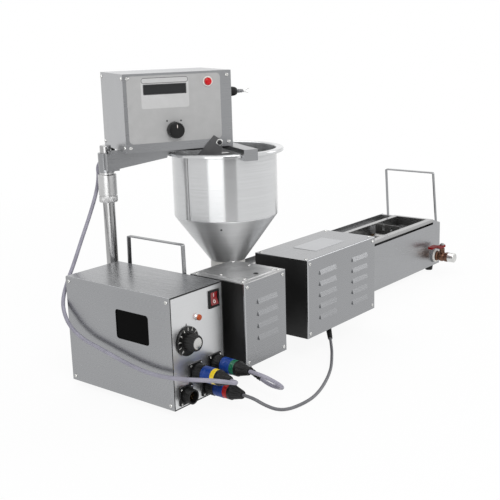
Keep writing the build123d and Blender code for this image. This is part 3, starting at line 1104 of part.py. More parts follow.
box_top = Plane(origin=place(0, 0, BOX_Z1))
terminal_screws = corners(TERMINAL_BOX_X0, TERMINAL_BOX_X1, BOX_Z0, BOX_Z1, SCREW_IN)
drive_screws = corners(DRIVE_BOX_X0, DRIVE_BOX_X1, BOX_Z0, BOX_Z1, SCREW_IN)
lid_screws = corners(TERMINAL_BOX_X0, TERMINAL_BOX_X1, BOX_Y0, TROUGH_Y0, SCREW_IN)
cover_top_screws = corners(DRIVE_BOX_X0, DRIVE_BOX_X1, BOX_Y0, TROUGH_Y0, SCREW_IN)
panel_screws = screw_heads((
    (CTRL_LEFT, corners(-CTRL_D, 0, 0, CTRL_H, SCREW_IN)),
    (BOX_FACE, terminal_screws + drive_screws),
    (box_top, lid_screws + cover_top_screws)))
head_screws = screw_heads((
    (HEAD_FACE, corners(HEAD_A0, HEAD_A1, HEAD_Z0, HEAD_Z1, SCREW_IN)),
    (HEAD_LEFT, corners(-HEAD_B1, -HEAD_B0, HEAD_Z0, HEAD_Z1, SCREW_IN)),
    (HEAD_RIGHT, corners(HEAD_B0, HEAD_B1, HEAD_Z0, HEAD_Z1, SCREW_IN))))

# cables: each from its plug to its strain relief
def plug_exit(socket, beyond=0.0):
    """A point on a plug's axis, from its back end outwards."""
    return (socket[0], -PLUG_L - beyond, socket[1])


def head_exit(beyond=0.0):
    """A point on the line the head's strain relief points along, from its tip outwards."""
    point = DATUM.to_local_coords(HEAD_GLAND_FROM + HEAD_GLAND_WAY.normalized() * (HEAD_RELIEF_L + beyond))
    return (point.X, point.Y, point.Z)


HEAD_ROUTE = (
    plug_exit(YELLOW_SOCKET), plug_exit(YELLOW_SOCKET, FOLD_LEAD), (41.0, -87.0, 52.0),
    (29.5, -88.0, 56.5), (17.0, -82.5, 61.0), (4.5, -71.0, 64.0), (-6.0, -54.0, 64.5),
    (-12.0, -30.0, 62.0), (-13.5, 0.0, 58.5), (-13.0, 36.0, 56.5), (-12.5, 74.0, 60.0),
    (-12.0, 110.0, 66.5), (-12.0, 146.0, 74.0), (-12.3, 180.0, 80.5), (-12.5, 207.0, 93.0),
    (-11.0, 224.0, 110.0), (-5.0, 236.0, 132.0), (15.0, 246.0, 157.0), (41.0, 256.0, 182.0),
    (65.0, 264.0, 212.0), (95.0, 271.0, 252.0), (119.0, 277.0, 288.0), (134.0, 286.0, 313.0),
    head_exit(HEAD_LEAD), head_exit())
HEATER_ROUTE = (
    plug_exit(GREEN_SOCKET), plug_exit(GREEN_SOCKET, CABLE_LEAD), (100.0, -107.0, 41.0),
    (118.0, -112.0, 26.0), (135.0, -97.0, 14.0), relief_exit(HEATER_GLAND, CABLE_LEAD),
    relief_exit(HEATER_GLAND))
DRIVE_ROUTE = (
    plug_exit(RED_SOCKET), plug_exit(RED_SOCKET, CABLE_LEAD), (80.0, -105.0, 9.0), (95.0, -117.0, -1.5),
    (116.0, -123.0, -7.0), (142.0, -128.0, -7.3), (172.0, -128.0, -7.2), (204.0, -120.0, -7.3),
    (234.0, -109.0, -7.2), (266.0, -95.0, -7.3), (296.0, -80.0, -6.0), (322.0, -64.0, -1.5),
    relief_exit(DRIVE_GLAND, RELIEF_LEAD), relief_exit(DRIVE_GLAND))
head_cable = cable("head_cable", HEAD_ROUTE, HEAD_CABLE_D)
heater_cable = cable("heater_cable", HEATER_ROUTE, HEATER_CABLE_D)
drive_cable = cable("drive_cable", DRIVE_ROUTE, DRIVE_CABLE_D)

PIECES = {
    "control_cover": control_cover, "control_base": control_base, "control_face": control_face,
    "control_window": control_window, "rocker_bezel": rocker_bezel, "rocker_switch": rocker_switch,
    "lamp_bezel": lamp_bezel, "lamp_lens": lamp_lens, "dial_knob": dial_knob, "thermostat": thermostat,
    "panel_sockets": panel_sockets, "cable_plugs": cable_plugs, "plug_bands": plug_bands,
    "plug_rings": plug_rings, "trough_casing": trough_casing, "bath": bath, "left_handle": left_handle,
    "right_handle": right_handle, "rubber_feet": rubber_feet, "heating_element": heating_element,
    "drain_pipe": drain_pipe, "valve_body": valve_body, "valve_stem": valve_stem, "valve_lever": valve_lever,
    "drain_cap": drain_cap, "flipper_wheel": flipper_wheel, "flipper_sprocket": flipper_sprocket,
    "ejector_wheel": ejector_wheel, "ejector_sprocket": ejector_sprocket, "drive_chain": drive_chain,
    "shaft_bushes": shaft_bushes, "exit_ramp": exit_ramp, "terminal_box_case": terminal_box_case,
    "terminal_box_cover": terminal_box_cover, "terminal_box_lid": terminal_box_lid,
    "drive_box_case": drive_box_case, "drive_box_cover": drive_box_cover, "gear_motor": gear_motor,
    "cable_glands": cable_glands, "post_bracket": post_bracket, "post": post, "lock_collar": lock_collar,
    "swing_arm": swing_arm, "hopper": hopper, "dispenser_cylinder": dispenser_cylinder, "plunger": plunger,
    "head_case": head_case, "head_panel": head_panel, "display_window": display_window,
    "head_knob": head_knob, "button_bezel": button_bezel, "start_button": start_button,
    "head_gland": head_gland,
    "head_screws": head_screws, "dosing_motor": dosing_motor, "guide_plate": guide_plate,
    "panel_screws": panel_screws, "head_cable": head_cable, "heater_cable": heater_cable,
    "drive_cable": drive_cable}
for name, piece in PIECES.items():
    piece.part.label = name
    export_step(piece.part, f"parts/{name}.step")
    print(f"{name}: {len(piece.solids())} solid(s), {piece.part.volume / 1000:.1f} cm3")
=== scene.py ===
# %% [markdown]
# # Tabletop donut machine
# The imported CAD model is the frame: every panel, shaft and bracket is already in its place, in metres.
# This script gives each of those pieces its finish and adds the small things that a maker would fit last,
# such as screws with a recess, ribs on the plugs, figures on the dial and the cables.

# %% Load the frame
import math
from contextlib import contextmanager

import bmesh
import bpy
from mathutils import Matrix, Vector


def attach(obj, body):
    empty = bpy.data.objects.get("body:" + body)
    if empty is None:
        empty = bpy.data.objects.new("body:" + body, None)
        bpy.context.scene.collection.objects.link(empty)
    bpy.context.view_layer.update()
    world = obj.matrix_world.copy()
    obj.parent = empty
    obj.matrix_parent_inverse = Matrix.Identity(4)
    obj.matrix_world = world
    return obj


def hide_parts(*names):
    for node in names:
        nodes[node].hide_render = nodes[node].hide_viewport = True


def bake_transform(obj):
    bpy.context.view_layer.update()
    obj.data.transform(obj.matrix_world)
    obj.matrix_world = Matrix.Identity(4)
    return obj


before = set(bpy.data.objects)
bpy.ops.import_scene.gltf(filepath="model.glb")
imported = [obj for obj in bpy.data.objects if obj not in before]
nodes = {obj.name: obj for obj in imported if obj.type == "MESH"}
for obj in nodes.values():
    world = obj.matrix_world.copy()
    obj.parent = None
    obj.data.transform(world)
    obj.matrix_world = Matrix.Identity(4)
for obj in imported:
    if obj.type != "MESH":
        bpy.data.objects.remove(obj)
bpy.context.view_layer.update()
scene = bpy.context.scene

# %% [markdown]
# ## Two ways to point at the machine
# The drawing measures from the control box's front lower left corner, in millimetres. The arm that carries
# the head stands turned by 28 degrees on its post, so points on the head are given along and across that
# arm. Two functions turn both into metres. A place is a matrix: a point with its own X, Y and Z directions,
# where a small piece can be built as if it lay on a bench.

# %% Points and places
MM = 0.001
CORNER = Vector((-496.25, -135.926, 10.0))
ARM_TURN = math.radians(-28.4)
ALONG = Vector((math.cos(ARM_TURN), math.sin(ARM_TURN), 0.0))
ACROSS = Vector((-math.sin(ARM_TURN), math.cos(ARM_TURN), 0.0))
LEFT = Vector((-1, 0, 0))
FRONT = Vector((0, -1, 0))
UP = Vector((0, 0, 1))


def spot(x, y, z):
    """A point from the control box's corner, in metres."""
    return (CORNER + Vector((x, y, z))) * MM


POST = spot(121.0, 250.0, 0.0)


def on_arm(along, across, z):
    """A point along and across the arm from the post's axis, in metres."""
    return POST + (ALONG * along + ACROSS * across + UP * z) * MM


def facing(origin, out, upward=UP):
    """A place whose Z leaves a panel, with X to the right of someone who looks at it."""
    z = Vector(out).normalized()
    x = Vector(upward).cross(z).normalized()
    return Matrix.Translation(origin) @ Matrix((x, z.cross(x), z)).transposed().to_4x4()


def moved(place, x, y, z):
    """A place moved along its own directions by mm."""
    return place @ Matrix.Translation(Vector((x, y, z)) * MM)


print("post at", [round(v, 4) for v in POST])

# %% [markdown]
# ## Camera
# The photograph's perspective was fitted to the straight edges of the boxes, the bath and the head. The
# result is a place, three angles and a lens. Three turns build the camera from them: round the upright,
# down onto the machine, and the small roll of the picture, which an aim constraint can't hold.

# %% Camera
CAMERA_AT = (-1.38947, -1.01684, 0.55579)
AZIMUTH, ELEVATION, ROLL = (math.radians(angle) for angle in (-50.81, 13.59, -1.66))

camera = bpy.data.objects.new("camera", bpy.data.cameras.new("camera"))
camera.data.lens = 65.0
camera.data.sensor_width = 36.0
scene.collection.objects.link(camera)
stand = Matrix.Translation(CAMERA_AT)
for angle, axis in ((AZIMUTH, "Z"), (math.pi / 2 - ELEVATION, "X"), (ROLL, "Z")):
    stand = stand @ Matrix.Rotation(angle, 4, axis)
camera.matrix_world = stand
scene.camera = camera
scene.view_settings.view_transform = "Standard"
print("camera at", CAMERA_AT, "lens", camera.data.lens)

# %% [markdown]
# ## Colours and nodes
# Colours are written as they look on a screen, as hex values. Blender's shaders work in linear light, so
# one function turns them over. A second one adds a shader node with its settings and inputs in one line,
# and the last one starts a new material.

# %% Colour and node helpers


def linear(hex_colour):
    """An sRGB hex colour in linear light."""
    channels = [int(hex_colour[i:i + 2], 16) / 255 for i in (1, 3, 5)]
    return tuple(c / 12.92 if c <= 0.04045 else ((c + 0.055) / 1.055) ** 2.4 for c in channels) + (1.0,)


def add_node(tree, kind, inputs=None, **settings):
    """A shader node with its settings; an input given a socket is linked, any other takes the value."""
    node = tree.nodes.new("ShaderNode" + kind)
    for name, value in settings.items():
        setattr(node, name, value)
    for name, value in (inputs or {}).items():
        if isinstance(value, bpy.types.NodeSocket):
            tree.links.new(value, node.inputs[name])
        else:
            node.inputs[name].default_value = value
    return node


def span(tree, value, low, high, first=0.0, last=1.0):
    """Maps a value's range onto another one and holds it at both ends."""
    return add_node(tree, "MapRange", {"Value": value, "From Min": low, "From Max": high, "To Min": first,
                                       "To Max": last}).outputs[0]


def local(tree):
    """Coordinates in the piece's own frame, in metres."""
    return add_node(tree, "TexCoord").outputs["Object"]


def new_finish(name, **values):
    """A material with the main shader's plain values set on its own sockets."""
    material = bpy.data.materials.new(name)
    material.use_nodes = True
    shader = material.node_tree.nodes["Principled BSDF"]
    for socket, value in values.items():
        shader.inputs[socket.replace("_", " ")].default_value = value
    return material, material.node_tree, shader


print("steel grey in linear light:", [round(c, 3) for c in linear("#b4b4b2")])

# %% [markdown]
# ## Studio
# A metal shows what is round it, so the world is white for the camera, for reflections and for glass, and
# weaker as a light, which keeps some shade in the corners. The floor is white paper: it mixes its own white
# in for those same rays, a little less near the machine, where it takes the shadow.

# %% World and floor
WORLD_LIGHT = 0.55
NEAR_FLOOR, FAR_FLOOR, NEAR_WHITE = 0.7, 1.8, 0.92
FLOOR_SIZE = 12.0
SQUARE = ((-1, -1), (1, -1), (1, 1), (-1, 1))


def seen_directly(tree):
    """1 for camera, glossy and transmission rays, 0 for the light that falls on surfaces."""
    path = add_node(tree, "LightPath")
    seen = path.outputs["Is Camera Ray"]
    for ray in ("Is Glossy Ray", "Is Transmission Ray"):
        seen = add_node(tree, "Math", {0: seen, 1: path.outputs[ray]}, operation="MAXIMUM").outputs[0]
    return seen


def stage_sheet(name, width, height, finish, place):
    """A flat rectangle that belongs to the studio, not to the machine; sizes in metres."""
    mesh = bpy.data.meshes.new(name)
    mesh.from_pydata([(x * width / 2, y * height / 2, 0.0) for x, y in SQUARE], [], [(0, 1, 2, 3)])
    mesh.materials.append(finish)
    sheet = bpy.data.objects.new(name, mesh)
    scene.collection.objects.link(sheet)
    sheet.matrix_world = place
    return sheet


world = bpy.data.worlds.new("studio")
scene.world = world
world.use_nodes = True
sky = world.node_tree
sky.nodes.clear()
strength = span(sky, seen_directly(sky), 0.0, 1.0, WORLD_LIGHT, 1.0)
light = add_node(sky, "Background", {"Strength": strength, "Color": linear("#ffffff")})
add_node(sky, "OutputWorld", {"Surface": light.outputs[0]})

paper = bpy.data.materials.new("white_paper_floor")
paper.use_nodes = True
tree = paper.node_tree
tree.nodes.clear()
matt = add_node(tree, "BsdfDiffuse", {"Color": linear("#f4f4f4")})
white = add_node(tree, "Emission", {"Color": linear("#ffffff"), "Strength": 1.0})
away = add_node(tree, "VectorMath", {0: local(tree)}, operation="LENGTH").outputs["Value"]
fade = span(tree, away, NEAR_FLOOR, FAR_FLOOR, NEAR_WHITE, 1.0)
share = add_node(tree, "Math", {0: seen_directly(tree), 1: fade}, operation="MULTIPLY")
mixed = add_node(tree, "MixShader", {"Fac": share.outputs[0], 1: matt.outputs[0], 2: white.outputs[0]})
add_node(tree, "OutputMaterial", {"Surface": mixed.outputs[0]})
stage_sheet("floor", FLOOR_SIZE, FLOOR_SIZE, paper, Matrix.Identity(4))
print("studio: a white world and a paper floor of", FLOOR_SIZE, "m")

# %% [markdown]
# Bent metal only reads as metal when it has something bright and something dark to mirror. So a weak softbox
# stands behind the machine for the lids, and two cards stand in front, a bright one and a black one, which
# only mirrors can see.

# %% Lamps and cards
CARD_H, CARDS_FACE = 0.5, (-0.21, 0.0)


def aimed(at, aim):
    """A place whose -Z axis points at something."""
    way = Vector(aim) - Vector(at)
    return Matrix.Translation(at) @ way.to_track_quat("-Z", "Y").to_matrix().to_4x4()


def softbox(name, at, aim_height, width, height, watts):
    """A rectangular lamp that looks at a point above the machine's middle."""
    lamp = bpy.data.lights.new(name, "AREA")
    lamp.shape = "RECTANGLE"
    lamp.size = width
    lamp.size_y = height
    lamp.energy = watts
    holder = bpy.data.objects.new(name, lamp)
    holder.visible_camera = False
    scene.collection.objects.link(holder)
    holder.matrix_world = aimed(at, (0, 0, aim_height))


def mirror_card(name, at, width, shade, glow=0.0):
    """A card that stands on the floor, faces the hopper and shows only in mirrors."""
    finish = new_finish(name, Base_Color=linear(shade), Roughness=1.0, Emission_Color=linear("#ffffff"),
                        Emission_Strength=glow)[0]
    card = stage_sheet(name, width, CARD_H, finish, aimed((*at, CARD_H / 2), (*CARDS_FACE, CARD_H / 2)))
    card.visible_camera = card.visible_diffuse = card.visible_shadow = False


softbox("key_softbox", (-1.5, -1.9, 1.9), 0.2, 1.2, 1.6, 30)
softbox("side_softbox", (1.9, -1.3, 1.2), 0.2, 0.9, 1.5, 12)
softbox("top_softbox", (0.2, 0.9, 2.2), 0.2, 1.8, 1.2, 16)
softbox("lid_softbox", (1.9, 1.6, 1.15), 0.3, 1.6, 0.9, 0.4)
mirror_card("bright_card", (-1.33, -0.44), 0.71, "#f4f4f4", glow=2.0)
mirror_card("black_card", (-0.954, -0.945), 0.55, "#0c0c0c")
print("studio: four softboxes and two cards")

# %% [markdown]
# ## Mesh helpers
# Most small pieces are turned on a lathe or cut from sheet. One function spins a half section about an
# axis, and another one fills an outline with holes and gives it a thickness. Ribs for the fingers are a
# change of radius from one segment to the next. The last function is used in a with statement: it hands out
# an empty mesh, and when the block ends it gives the mesh its finish, its CAD body and, where it stands for
# one, the CAD node that it replaces.

# %% Outlines, lathe, cut sheet and new pieces


def ring_of(radius, at=(0, 0), steps=32):
    """A circle's or polygon's outline in mm."""
    angles = [2 * math.pi * i / steps for i in range(steps)]
    return [(at[0] + radius * math.cos(angle), at[1] + radius * math.sin(angle)) for angle in angles]


def box_outline(width, height, at=(0, 0)):
    """A rectangle's outline in mm."""
    return [(at[0] + x * width / 2, at[1] + y * height / 2) for x, y in SQUARE]


def rounded(width, height, radius, at=(0, 0), steps=6):
    """A rounded rectangle's outline in mm."""
    points = []
    for quarter, (sx, sy) in enumerate(((1, 1), (-1, 1), (-1, -1), (1, -1))):
        for step in range(steps + 1):
            angle = math.pi / 2 * (quarter + step / steps)
            points.append((at[0] + sx * (width / 2 - radius) + radius * math.cos(angle),
                           at[1] + sy * (height / 2 - radius) + radius * math.sin(angle)))
    return points


def turned(bm, profile, place, segments=48):
    """Spins (radius, height) pairs in mm about a place's Z axis; a radius of 0 closes the end."""
    rings = []
    for radius, height in profile:
        points = ring_of(radius, steps=segments) if radius > 0 else [(0, 0)]
        rings.append([bm.verts.new(place @ (Vector((x, y, height)) * MM)) for x, y in points])
    for low, high in zip(rings, rings[1:]):
        for i in range(segments):
            j = (i + 1) % segments
            face = [low[i % len(low)], low[j % len(low)], high[j % len(high)], high[i % len(high)]]
            bm.faces.new(list(dict.fromkeys(face)))
    return rings


def ribbed(bm, profile, place, first, ribs, depth, segments):
    """A lathe form whose ring with the number first, and the next one, are scalloped; depth in mm."""
    rings = turned(bm, profile, place, segments)
    for ring in rings[first:first + 2]:
        for i, vertex in enumerate(ring):
            angle = 2 * math.pi * i / segments
            cut = depth * (0.5 - 0.5 * math.cos(angle * ribs)) ** 2
            vertex.co -= place.to_3x3() @ Vector((math.cos(angle), math.sin(angle), 0)) * cut * MM


def skin(bm, rings):
    """Joins rings of points into a tube and closes both ends."""
    for near, far in zip(rings, rings[1:]):
        for i in range(len(near)):
            bm.faces.new((near[i], near[i - 1], far[i - 1], far[i]))
    bm.faces.new(rings[0])
    bm.faces.new(rings[-1])


def pour(bm, curve, place):
    """Adds the surface of a curve or a text to a mesh and clears the curve away."""
    holder = bpy.data.objects.new(curve.name, curve)
    flat = bpy.data.meshes.new_from_object(holder)
    flat.transform(place)
    bm.from_mesh(flat)
    bpy.data.objects.remove(holder)
    bpy.data.curves.remove(curve)
    bpy.data.meshes.remove(flat)


def cut_sheet(bm, loops, thick, place):
    """Fills an outline, with the loops inside it as holes, and raises it from a place by its thickness."""
    curve = bpy.data.curves.new("outline", "CURVE")
    curve.dimensions = "2D"
    curve.fill_mode = "BOTH"
    curve.extrude = thick / 2
    for loop in loops:
        spline = curve.splines.new("POLY")
        spline.points.add(len(loop) - 1)
        for control, (x, y) in zip(spline.points, loop):
            control.co = (x, y, 0.0, 1.0)
        spline.use_cyclic_u = True
    pour(bm, curve, place @ Matrix.Scale(MM, 4) @ Matrix.Translation((0, 0, thick / 2)))


def as_object(name, bm, finish, smooth_under):
    """An object from built geometry, smooth up to an angle between faces in degrees."""
    bmesh.ops.recalc_face_normals(bm, faces=bm.faces)
    mesh = bpy.data.meshes.new(name)
    bm.to_mesh(mesh)
    bm.free()
    mesh.shade_smooth()
    mesh.set_sharp_from_angle(angle=math.radians(smooth_under))
    mesh.materials.append(finish)
    made = bpy.data.objects.new(name, mesh)
    scene.collection.objects.link(made)
    return made


@contextmanager
def piece(name, finish, body, slot, instead_of=None, smooth_under=35):
    """An empty mesh to build in, which then becomes a piece that rides on a CAD body."""
    bm = bmesh.new()
    yield bm
    bmesh.ops.remove_doubles(bm, verts=bm.verts, dist=1e-6)
    made = as_object(name, bm, finish, smooth_under)
    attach(made, body)
    if instead_of:
        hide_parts(instead_of)


print("a circle of 32 points, a rounded rectangle of", len(rounded(20, 10, 2)))

# %% [markdown]
# ## Sheet steel
# Most of the machine is stainless sheet, drawn under an abrasive belt. That leaves fine parallel scratches:
# the metal mirrors clearly along them and smears across them. A stretched noise makes the scratches, and a
# second, wide noise lets the tone drift. Real scratches are about 0.1 mm apart, too fine for the picture,
# so they are drawn about 1.5 mm apart.
#
# Nearly every finish has the same three parts: a pattern that picks a shade, one that sets the roughness
# and one for the relief. One function makes and links them. Most of a noise lies between 0.3 and 0.7, so a
# pattern is read over that range or a narrower one.

# %% Brushed stainless
METRE = 1000.0
WIDE, NARROW = (0.3, 0.7), (0.35, 0.65)
DRIFT, SCRATCH_SHARE = 120.0, 0.4


def noise(tree, place, size, **values):
    """A cloudy pattern; size is the width of its patches in mm."""
    return add_node(tree, "TexNoise", {"Vector": place, "Scale": 1 / (size * MM), **values}).outputs[0]


def textured(tree, shader, tone, sheen, relief):
    """Links colour, roughness and relief to the main shader.

    tone is a pattern, its dark and pale ends and their shades; sheen is a pattern, its ends and the roughness
    there; relief is a pattern, its strength and its height in mm.
    """
    pattern, ends, shades = tone
    ramp = add_node(tree, "ValToRGB", {"Fac": pattern})
    for stop, end, shade in zip(ramp.color_ramp.elements, ends, shades):
        stop.position = end
        stop.color = linear(shade)
    pattern, ends, rough = sheen
    gloss = span(tree, pattern, *ends, *rough)
    pattern, strength, height = relief
    bump = add_node(tree, "Bump", {"Height": pattern, "Strength": strength, "Distance": height * MM})
    for socket, name in ((ramp.outputs[0], "Base Color"), (gloss, "Roughness"), (bump.outputs[0], "Normal")):
        tree.links.new(socket, shader.inputs[name])


def drawn_steel(name, pale, dark, rough, run, turn=0.0, streak=1.5, run_length=70.0, depth=0.001):
    """Brushed stainless: scratches along one axis, with their spacing and length in mm."""
    material, tree, shader = new_finish(name, Metallic=1.0)
    place = local(tree)
    scale = [(run_length if axis == run else streak) * MM for axis in "xyz"]
    stretch = add_node(tree, "Mapping", {"Vector": place, "Rotation": (0, 0, turn), "Scale": scale},
                       vector_type="TEXTURE")
    scratch = noise(tree, stretch.outputs[0], METRE, Detail=3.0, Roughness=0.6)
    drift = noise(tree, place, DRIFT, Detail=2.0)
    tone = add_node(tree, "Mix", {"Factor": SCRATCH_SHARE, "A": drift, "B": scratch}, data_type="FLOAT")
    textured(tree, shader, (tone.outputs[0], WIDE, (dark, pale)),
             (scratch, WIDE, (rough * 0.85, rough * 1.2)), (scratch, depth, 0.1))
    return material


cover_steel = drawn_steel("stainless_cover_brushed", "#9e9fa1", "#98999b", 0.28, "y")
front_steel = drawn_steel("stainless_front_satin", "#9a9b9d", "#969799", 0.26, "x", streak=1.0)
head_steel = drawn_steel("stainless_head_brushed", "#a6a7a9", "#9d9ea0", 0.30, "x", turn=ARM_TURN)
arm_steel = drawn_steel("stainless_arm_brushed", "#98999b", "#8f9092", 0.30, "x", turn=ARM_TURN)
face_metal = drawn_steel("aluminium_face_panel_satin", "#dcddde", "#d0d1d2", 0.34, "x", streak=1.2)
plate_metal = drawn_steel("aluminium_plate_bare", "#b8b9bb", "#b0b1b3", 0.42, "x", streak=1.0)
trough_steel = drawn_steel("stainless_trough_brushed", "#a1a2a4", "#9a9b9d", 0.30, "x", streak=1.0)
strip_steel = drawn_steel("stainless_handle_strip", "#9b9c9e", "#898a8c", 0.28, "y", streak=1.0)
# A brighter copy of the brushed steel, used as a painted highlight on the covers' bends.
edge_highlight_steel = drawn_steel("stainless_edge_painted_highlight", "#b8b9bb", "#acadaf", 0.24, "z", streak=1.0)
wheel_steel = drawn_steel("stainless_wheel_blades", "#8c8c8b", "#7c7c7b", 0.34, "z")
print("ten brushed finishes, from", cover_steel.name, "to", wheel_steel.name)

# %% [markdown]
# ## Polished steel
# The rods and the lid are polished until they mirror the room. Rolled sheet is never quite flat, so a shallow
# wave several centimetres long bends the mirror image.

# %% Polished stainless


def polished_steel(name, pale, dark, rough, wave=45.0, depth=0.25, cloud=60.0):
    """Polished stainless whose reflections sway with the sheet; wave and cloud lengths in mm."""
    material, tree, shader = new_finish(name, Metallic=1.0)
    place = local(tree)
    sway = noise(tree, place, wave, Detail=1.0)
    stain = noise(tree, place, cloud, Detail=5.0, Roughness=0.6)
    textured(tree, shader, (stain, NARROW, (dark, pale)), (stain, WIDE, (rough * 1.3, rough * 0.8)),
             (sway, depth, 0.5))
    return material


rod_steel = polished_steel("stainless_rod_polished", "#ababab", "#9e9e9e", 0.18, depth=0.03)
collar_steel = polished_steel("stainless_collar_turned", "#c4c4c4", "#bcbcbc", 0.3, depth=0.01)
lid_steel = polished_steel("stainless_lid_polished", "#d6d6d6", "#bababa", 0.34, wave=22.0, depth=0.4,
                           cloud=25.0)
cap_steel = polished_steel("aluminium_dial_cap_spun", "#c4c4c2", "#b4b4b2", 0.32, depth=0.05)
chrome = polished_steel("brass_chrome_plated", "#dcdcdc", "#cfcfcf", 0.07, depth=0.02)
print("five polished finishes, from", rod_steel.name, "to", chrome.name)

# %% [markdown]
# ## The bath
# The bath is bright sheet. Its rim shows bright, and below a line a little under the rim the walls are
# darker:
# that is painted shade inside the bath. Object coordinates give the height, a noise bends the line, and both
# colour and gloss follow it.

# %% Bath with painted shade
# Painted shade: the bath's walls are darker below this line under the rim.
RIM_HEIGHT, SHADE_LINE_DROP, SHADE_LINE_SOFT, SHADE_LINE_WANDER = 122.0, 7.0, 5.0, 4.0


def oiled_steel(name, bright, shaded, rough, cloud=35.0):
    """Painted shade below a line under the rim; cloud is the length of the tint's patches in mm."""
    material, tree, shader = new_finish(name, Metallic=1.0)
    place = local(tree)
    height = add_node(tree, "SeparateXYZ", {"Vector": place}).outputs["Z"]
    stain = noise(tree, place, cloud, Detail=5.0, Roughness=0.6)
    wander = add_node(tree, "Math", {0: stain, 1: SHADE_LINE_WANDER * MM, 2: height}, operation="MULTIPLY_ADD")
    shade_line = (RIM_HEIGHT - SHADE_LINE_DROP) * MM
    above = span(tree, wander.outputs[0], shade_line - SHADE_LINE_SOFT * MM, shade_line + SHADE_LINE_SOFT * MM)
    textured(tree, shader, (above, (0.0, 1.0), (shaded, bright)),
             (above, (0.0, 1.0), (rough * 1.3, rough * 0.8)), (stain, 0.15, 0.3))
    return material


# The rim's own colour, and the darker painted shade of the walls below the line.
bath_steel = oiled_steel("stainless_bath_painted_shade", "#a6a6a6", "#6c6c6b", 0.30)
print("bath finish:", bath_steel.name)

# %% [markdown]
# ## Moulded plastic, rubber, paint and cast metal
# The other finishes share one idea: a base colour that drifts a little, and a fine relief that breaks up
# the highlight. Moulds leave a grain of about half a millimetre on plastic, paint shows orange peel of
# about two, cast brass shows sand grain of about one.

# %% Grained finishes
PATCH_GRAINS = 25


def grained(name, pale, dark, rough, grain, depth, metallic=0.0, coat=0.0, shine=0.5):
    """A finish with a mottled colour and a fine relief; grain in mm."""
    material, tree, shader = new_finish(name, Metallic=metallic, Coat_Weight=coat, Coat_Roughness=0.15,
                                        Specular_IOR_Level=shine)
    place = local(tree)
    speck = noise(tree, place, grain, Detail=3.0)
    drift = noise(tree, place, PATCH_GRAINS * grain, Detail=4.0)
    textured(tree, shader, (drift, NARROW, (dark, pale)),
             (drift, WIDE, (rough * 0.9, min(1.0, rough * 1.15))), (speck, depth, 0.1))
    return material


case_paint = grained("steel_black_paint_satin", "#202020", "#1a1a1a", 0.45, 2.0, 0.15, shine=0.4)
black_abs = grained("abs_black_moulded", "#141415", "#0e0e0e", 0.45, 0.5, 0.2, shine=0.25)
knob_abs = grained("abs_black_knob_gloss", "#131313", "#0c0c0c", 0.3, 0.6, 0.1, shine=0.3)
black_rubber = grained("rubber_black_moulded", "#191919", "#111111", 0.65, 0.7, 0.3, shine=0.3)
grey_rubber = grained("rubber_grey_sleeve", "#8f9092", "#7e7f82", 0.4, 0.6, 0.12)
red_abs = grained("polycarbonate_red_gloss", "#8c0a10", "#70070b", 0.18, 0.8, 0.03, coat=0.3)
button_red = grained("abs_red_button_gloss", "#d80a12", "#c4060e", 0.25, 0.8, 0.03, coat=0.2, shine=0.3)
amber_lens = grained("polycarbonate_amber_lens", "#b84c06", "#9a3a02", 0.16, 0.8, 0.02, coat=0.1, shine=0.3)
band_blue = grained("nylon_blue_moulded", "#164091", "#12367f", 0.36, 0.6, 0.1, shine=0.3)
ring_yellow = grained("nylon_yellow_moulded", "#f0d020", "#e2c015", 0.35, 0.6, 0.1)
ring_green = grained("nylon_green_moulded", "#147050", "#0f6043", 0.35, 0.6, 0.1)
ring_red = grained("nylon_red_moulded", "#b81a1a", "#a01212", 0.36, 0.6, 0.1, shine=0.3)
sheath_lilac = grained("pvc_cable_sheath_lilac_grey", "#9d9ba8", "#8d8b98", 0.42, 0.8, 0.12)
sheath_grey = grained("pvc_cable_sheath_grey", "#6f6f73", "#616165", 0.42, 0.8, 0.12)
acetal_white = grained("acetal_white_turned", "#f4f3f0", "#e8e7e2", 0.38, 0.8, 0.08)
brass_brown = grained("brass_valve_browned", "#80604e", "#5c4336", 0.34, 1.0, 0.3, metallic=1.0)
bronze = grained("bronze_sintered_bush", "#745a38", "#5e482c", 0.45, 0.5, 0.3, metallic=1.0)
dark_steel = grained("steel_blackened", "#4a4a4c", "#38383a", 0.42, 0.8, 0.25, metallic=1.0)
plate_steel = grained("steel_grey_plate", "#5a5a5b", "#48484a", 0.42, 1.2, 0.2)
seam_steel = grained("stainless_weld_dulled", "#606060", "#565656", 0.55, 0.8, 0.02, metallic=0.5)
motor_paint = grained("aluminium_grey_paint", "#6d6f73", "#5f6165", 0.5, 1.5, 0.2)
lever_vinyl = grained("vinyl_red_dipped", "#820406", "#6c0204", 0.4, 1.0, 0.1, shine=0.15)
cap_plate = grained("brass_nickel_plated_cap", "#dcdcda", "#c4c4c2", 0.26, 1.2, 0.1, metallic=1.0)
screw_zinc = grained("steel_zinc_plated_screw", "#dededc", "#c6c6c4", 0.2, 0.8, 0.1, metallic=1.0)
film_grey = grained("polyester_film_grey", "#b0b0b0", "#acacac", 0.42, 0.6, 0.04)
film_pale = grained("polyester_film_pale_field", "#c4c4c4", "#c0c0c0", 0.42, 0.6, 0.04)
ink_dark = grained("ink_dark_grey_printed", "#3c3c3e", "#303032", 0.5, 0.6, 0.05)
ink_white = grained("ink_white_printed", "#e6dcd8", "#d8ccc8", 0.4, 0.6, 0.05)
print("grained finishes, from", case_paint.name, "to", ink_white.name)

# %% [markdown]
# ## See-through parts
# The control box's window is smoked acrylic, and the head's display is a dark liquid crystal pane. Both are
# glossy sheets with a dark tint, and a faint noise in the roughness stands for wipe marks. The smoked one
# has a matt coat against glare, so its specular level is low.

# %% Panes


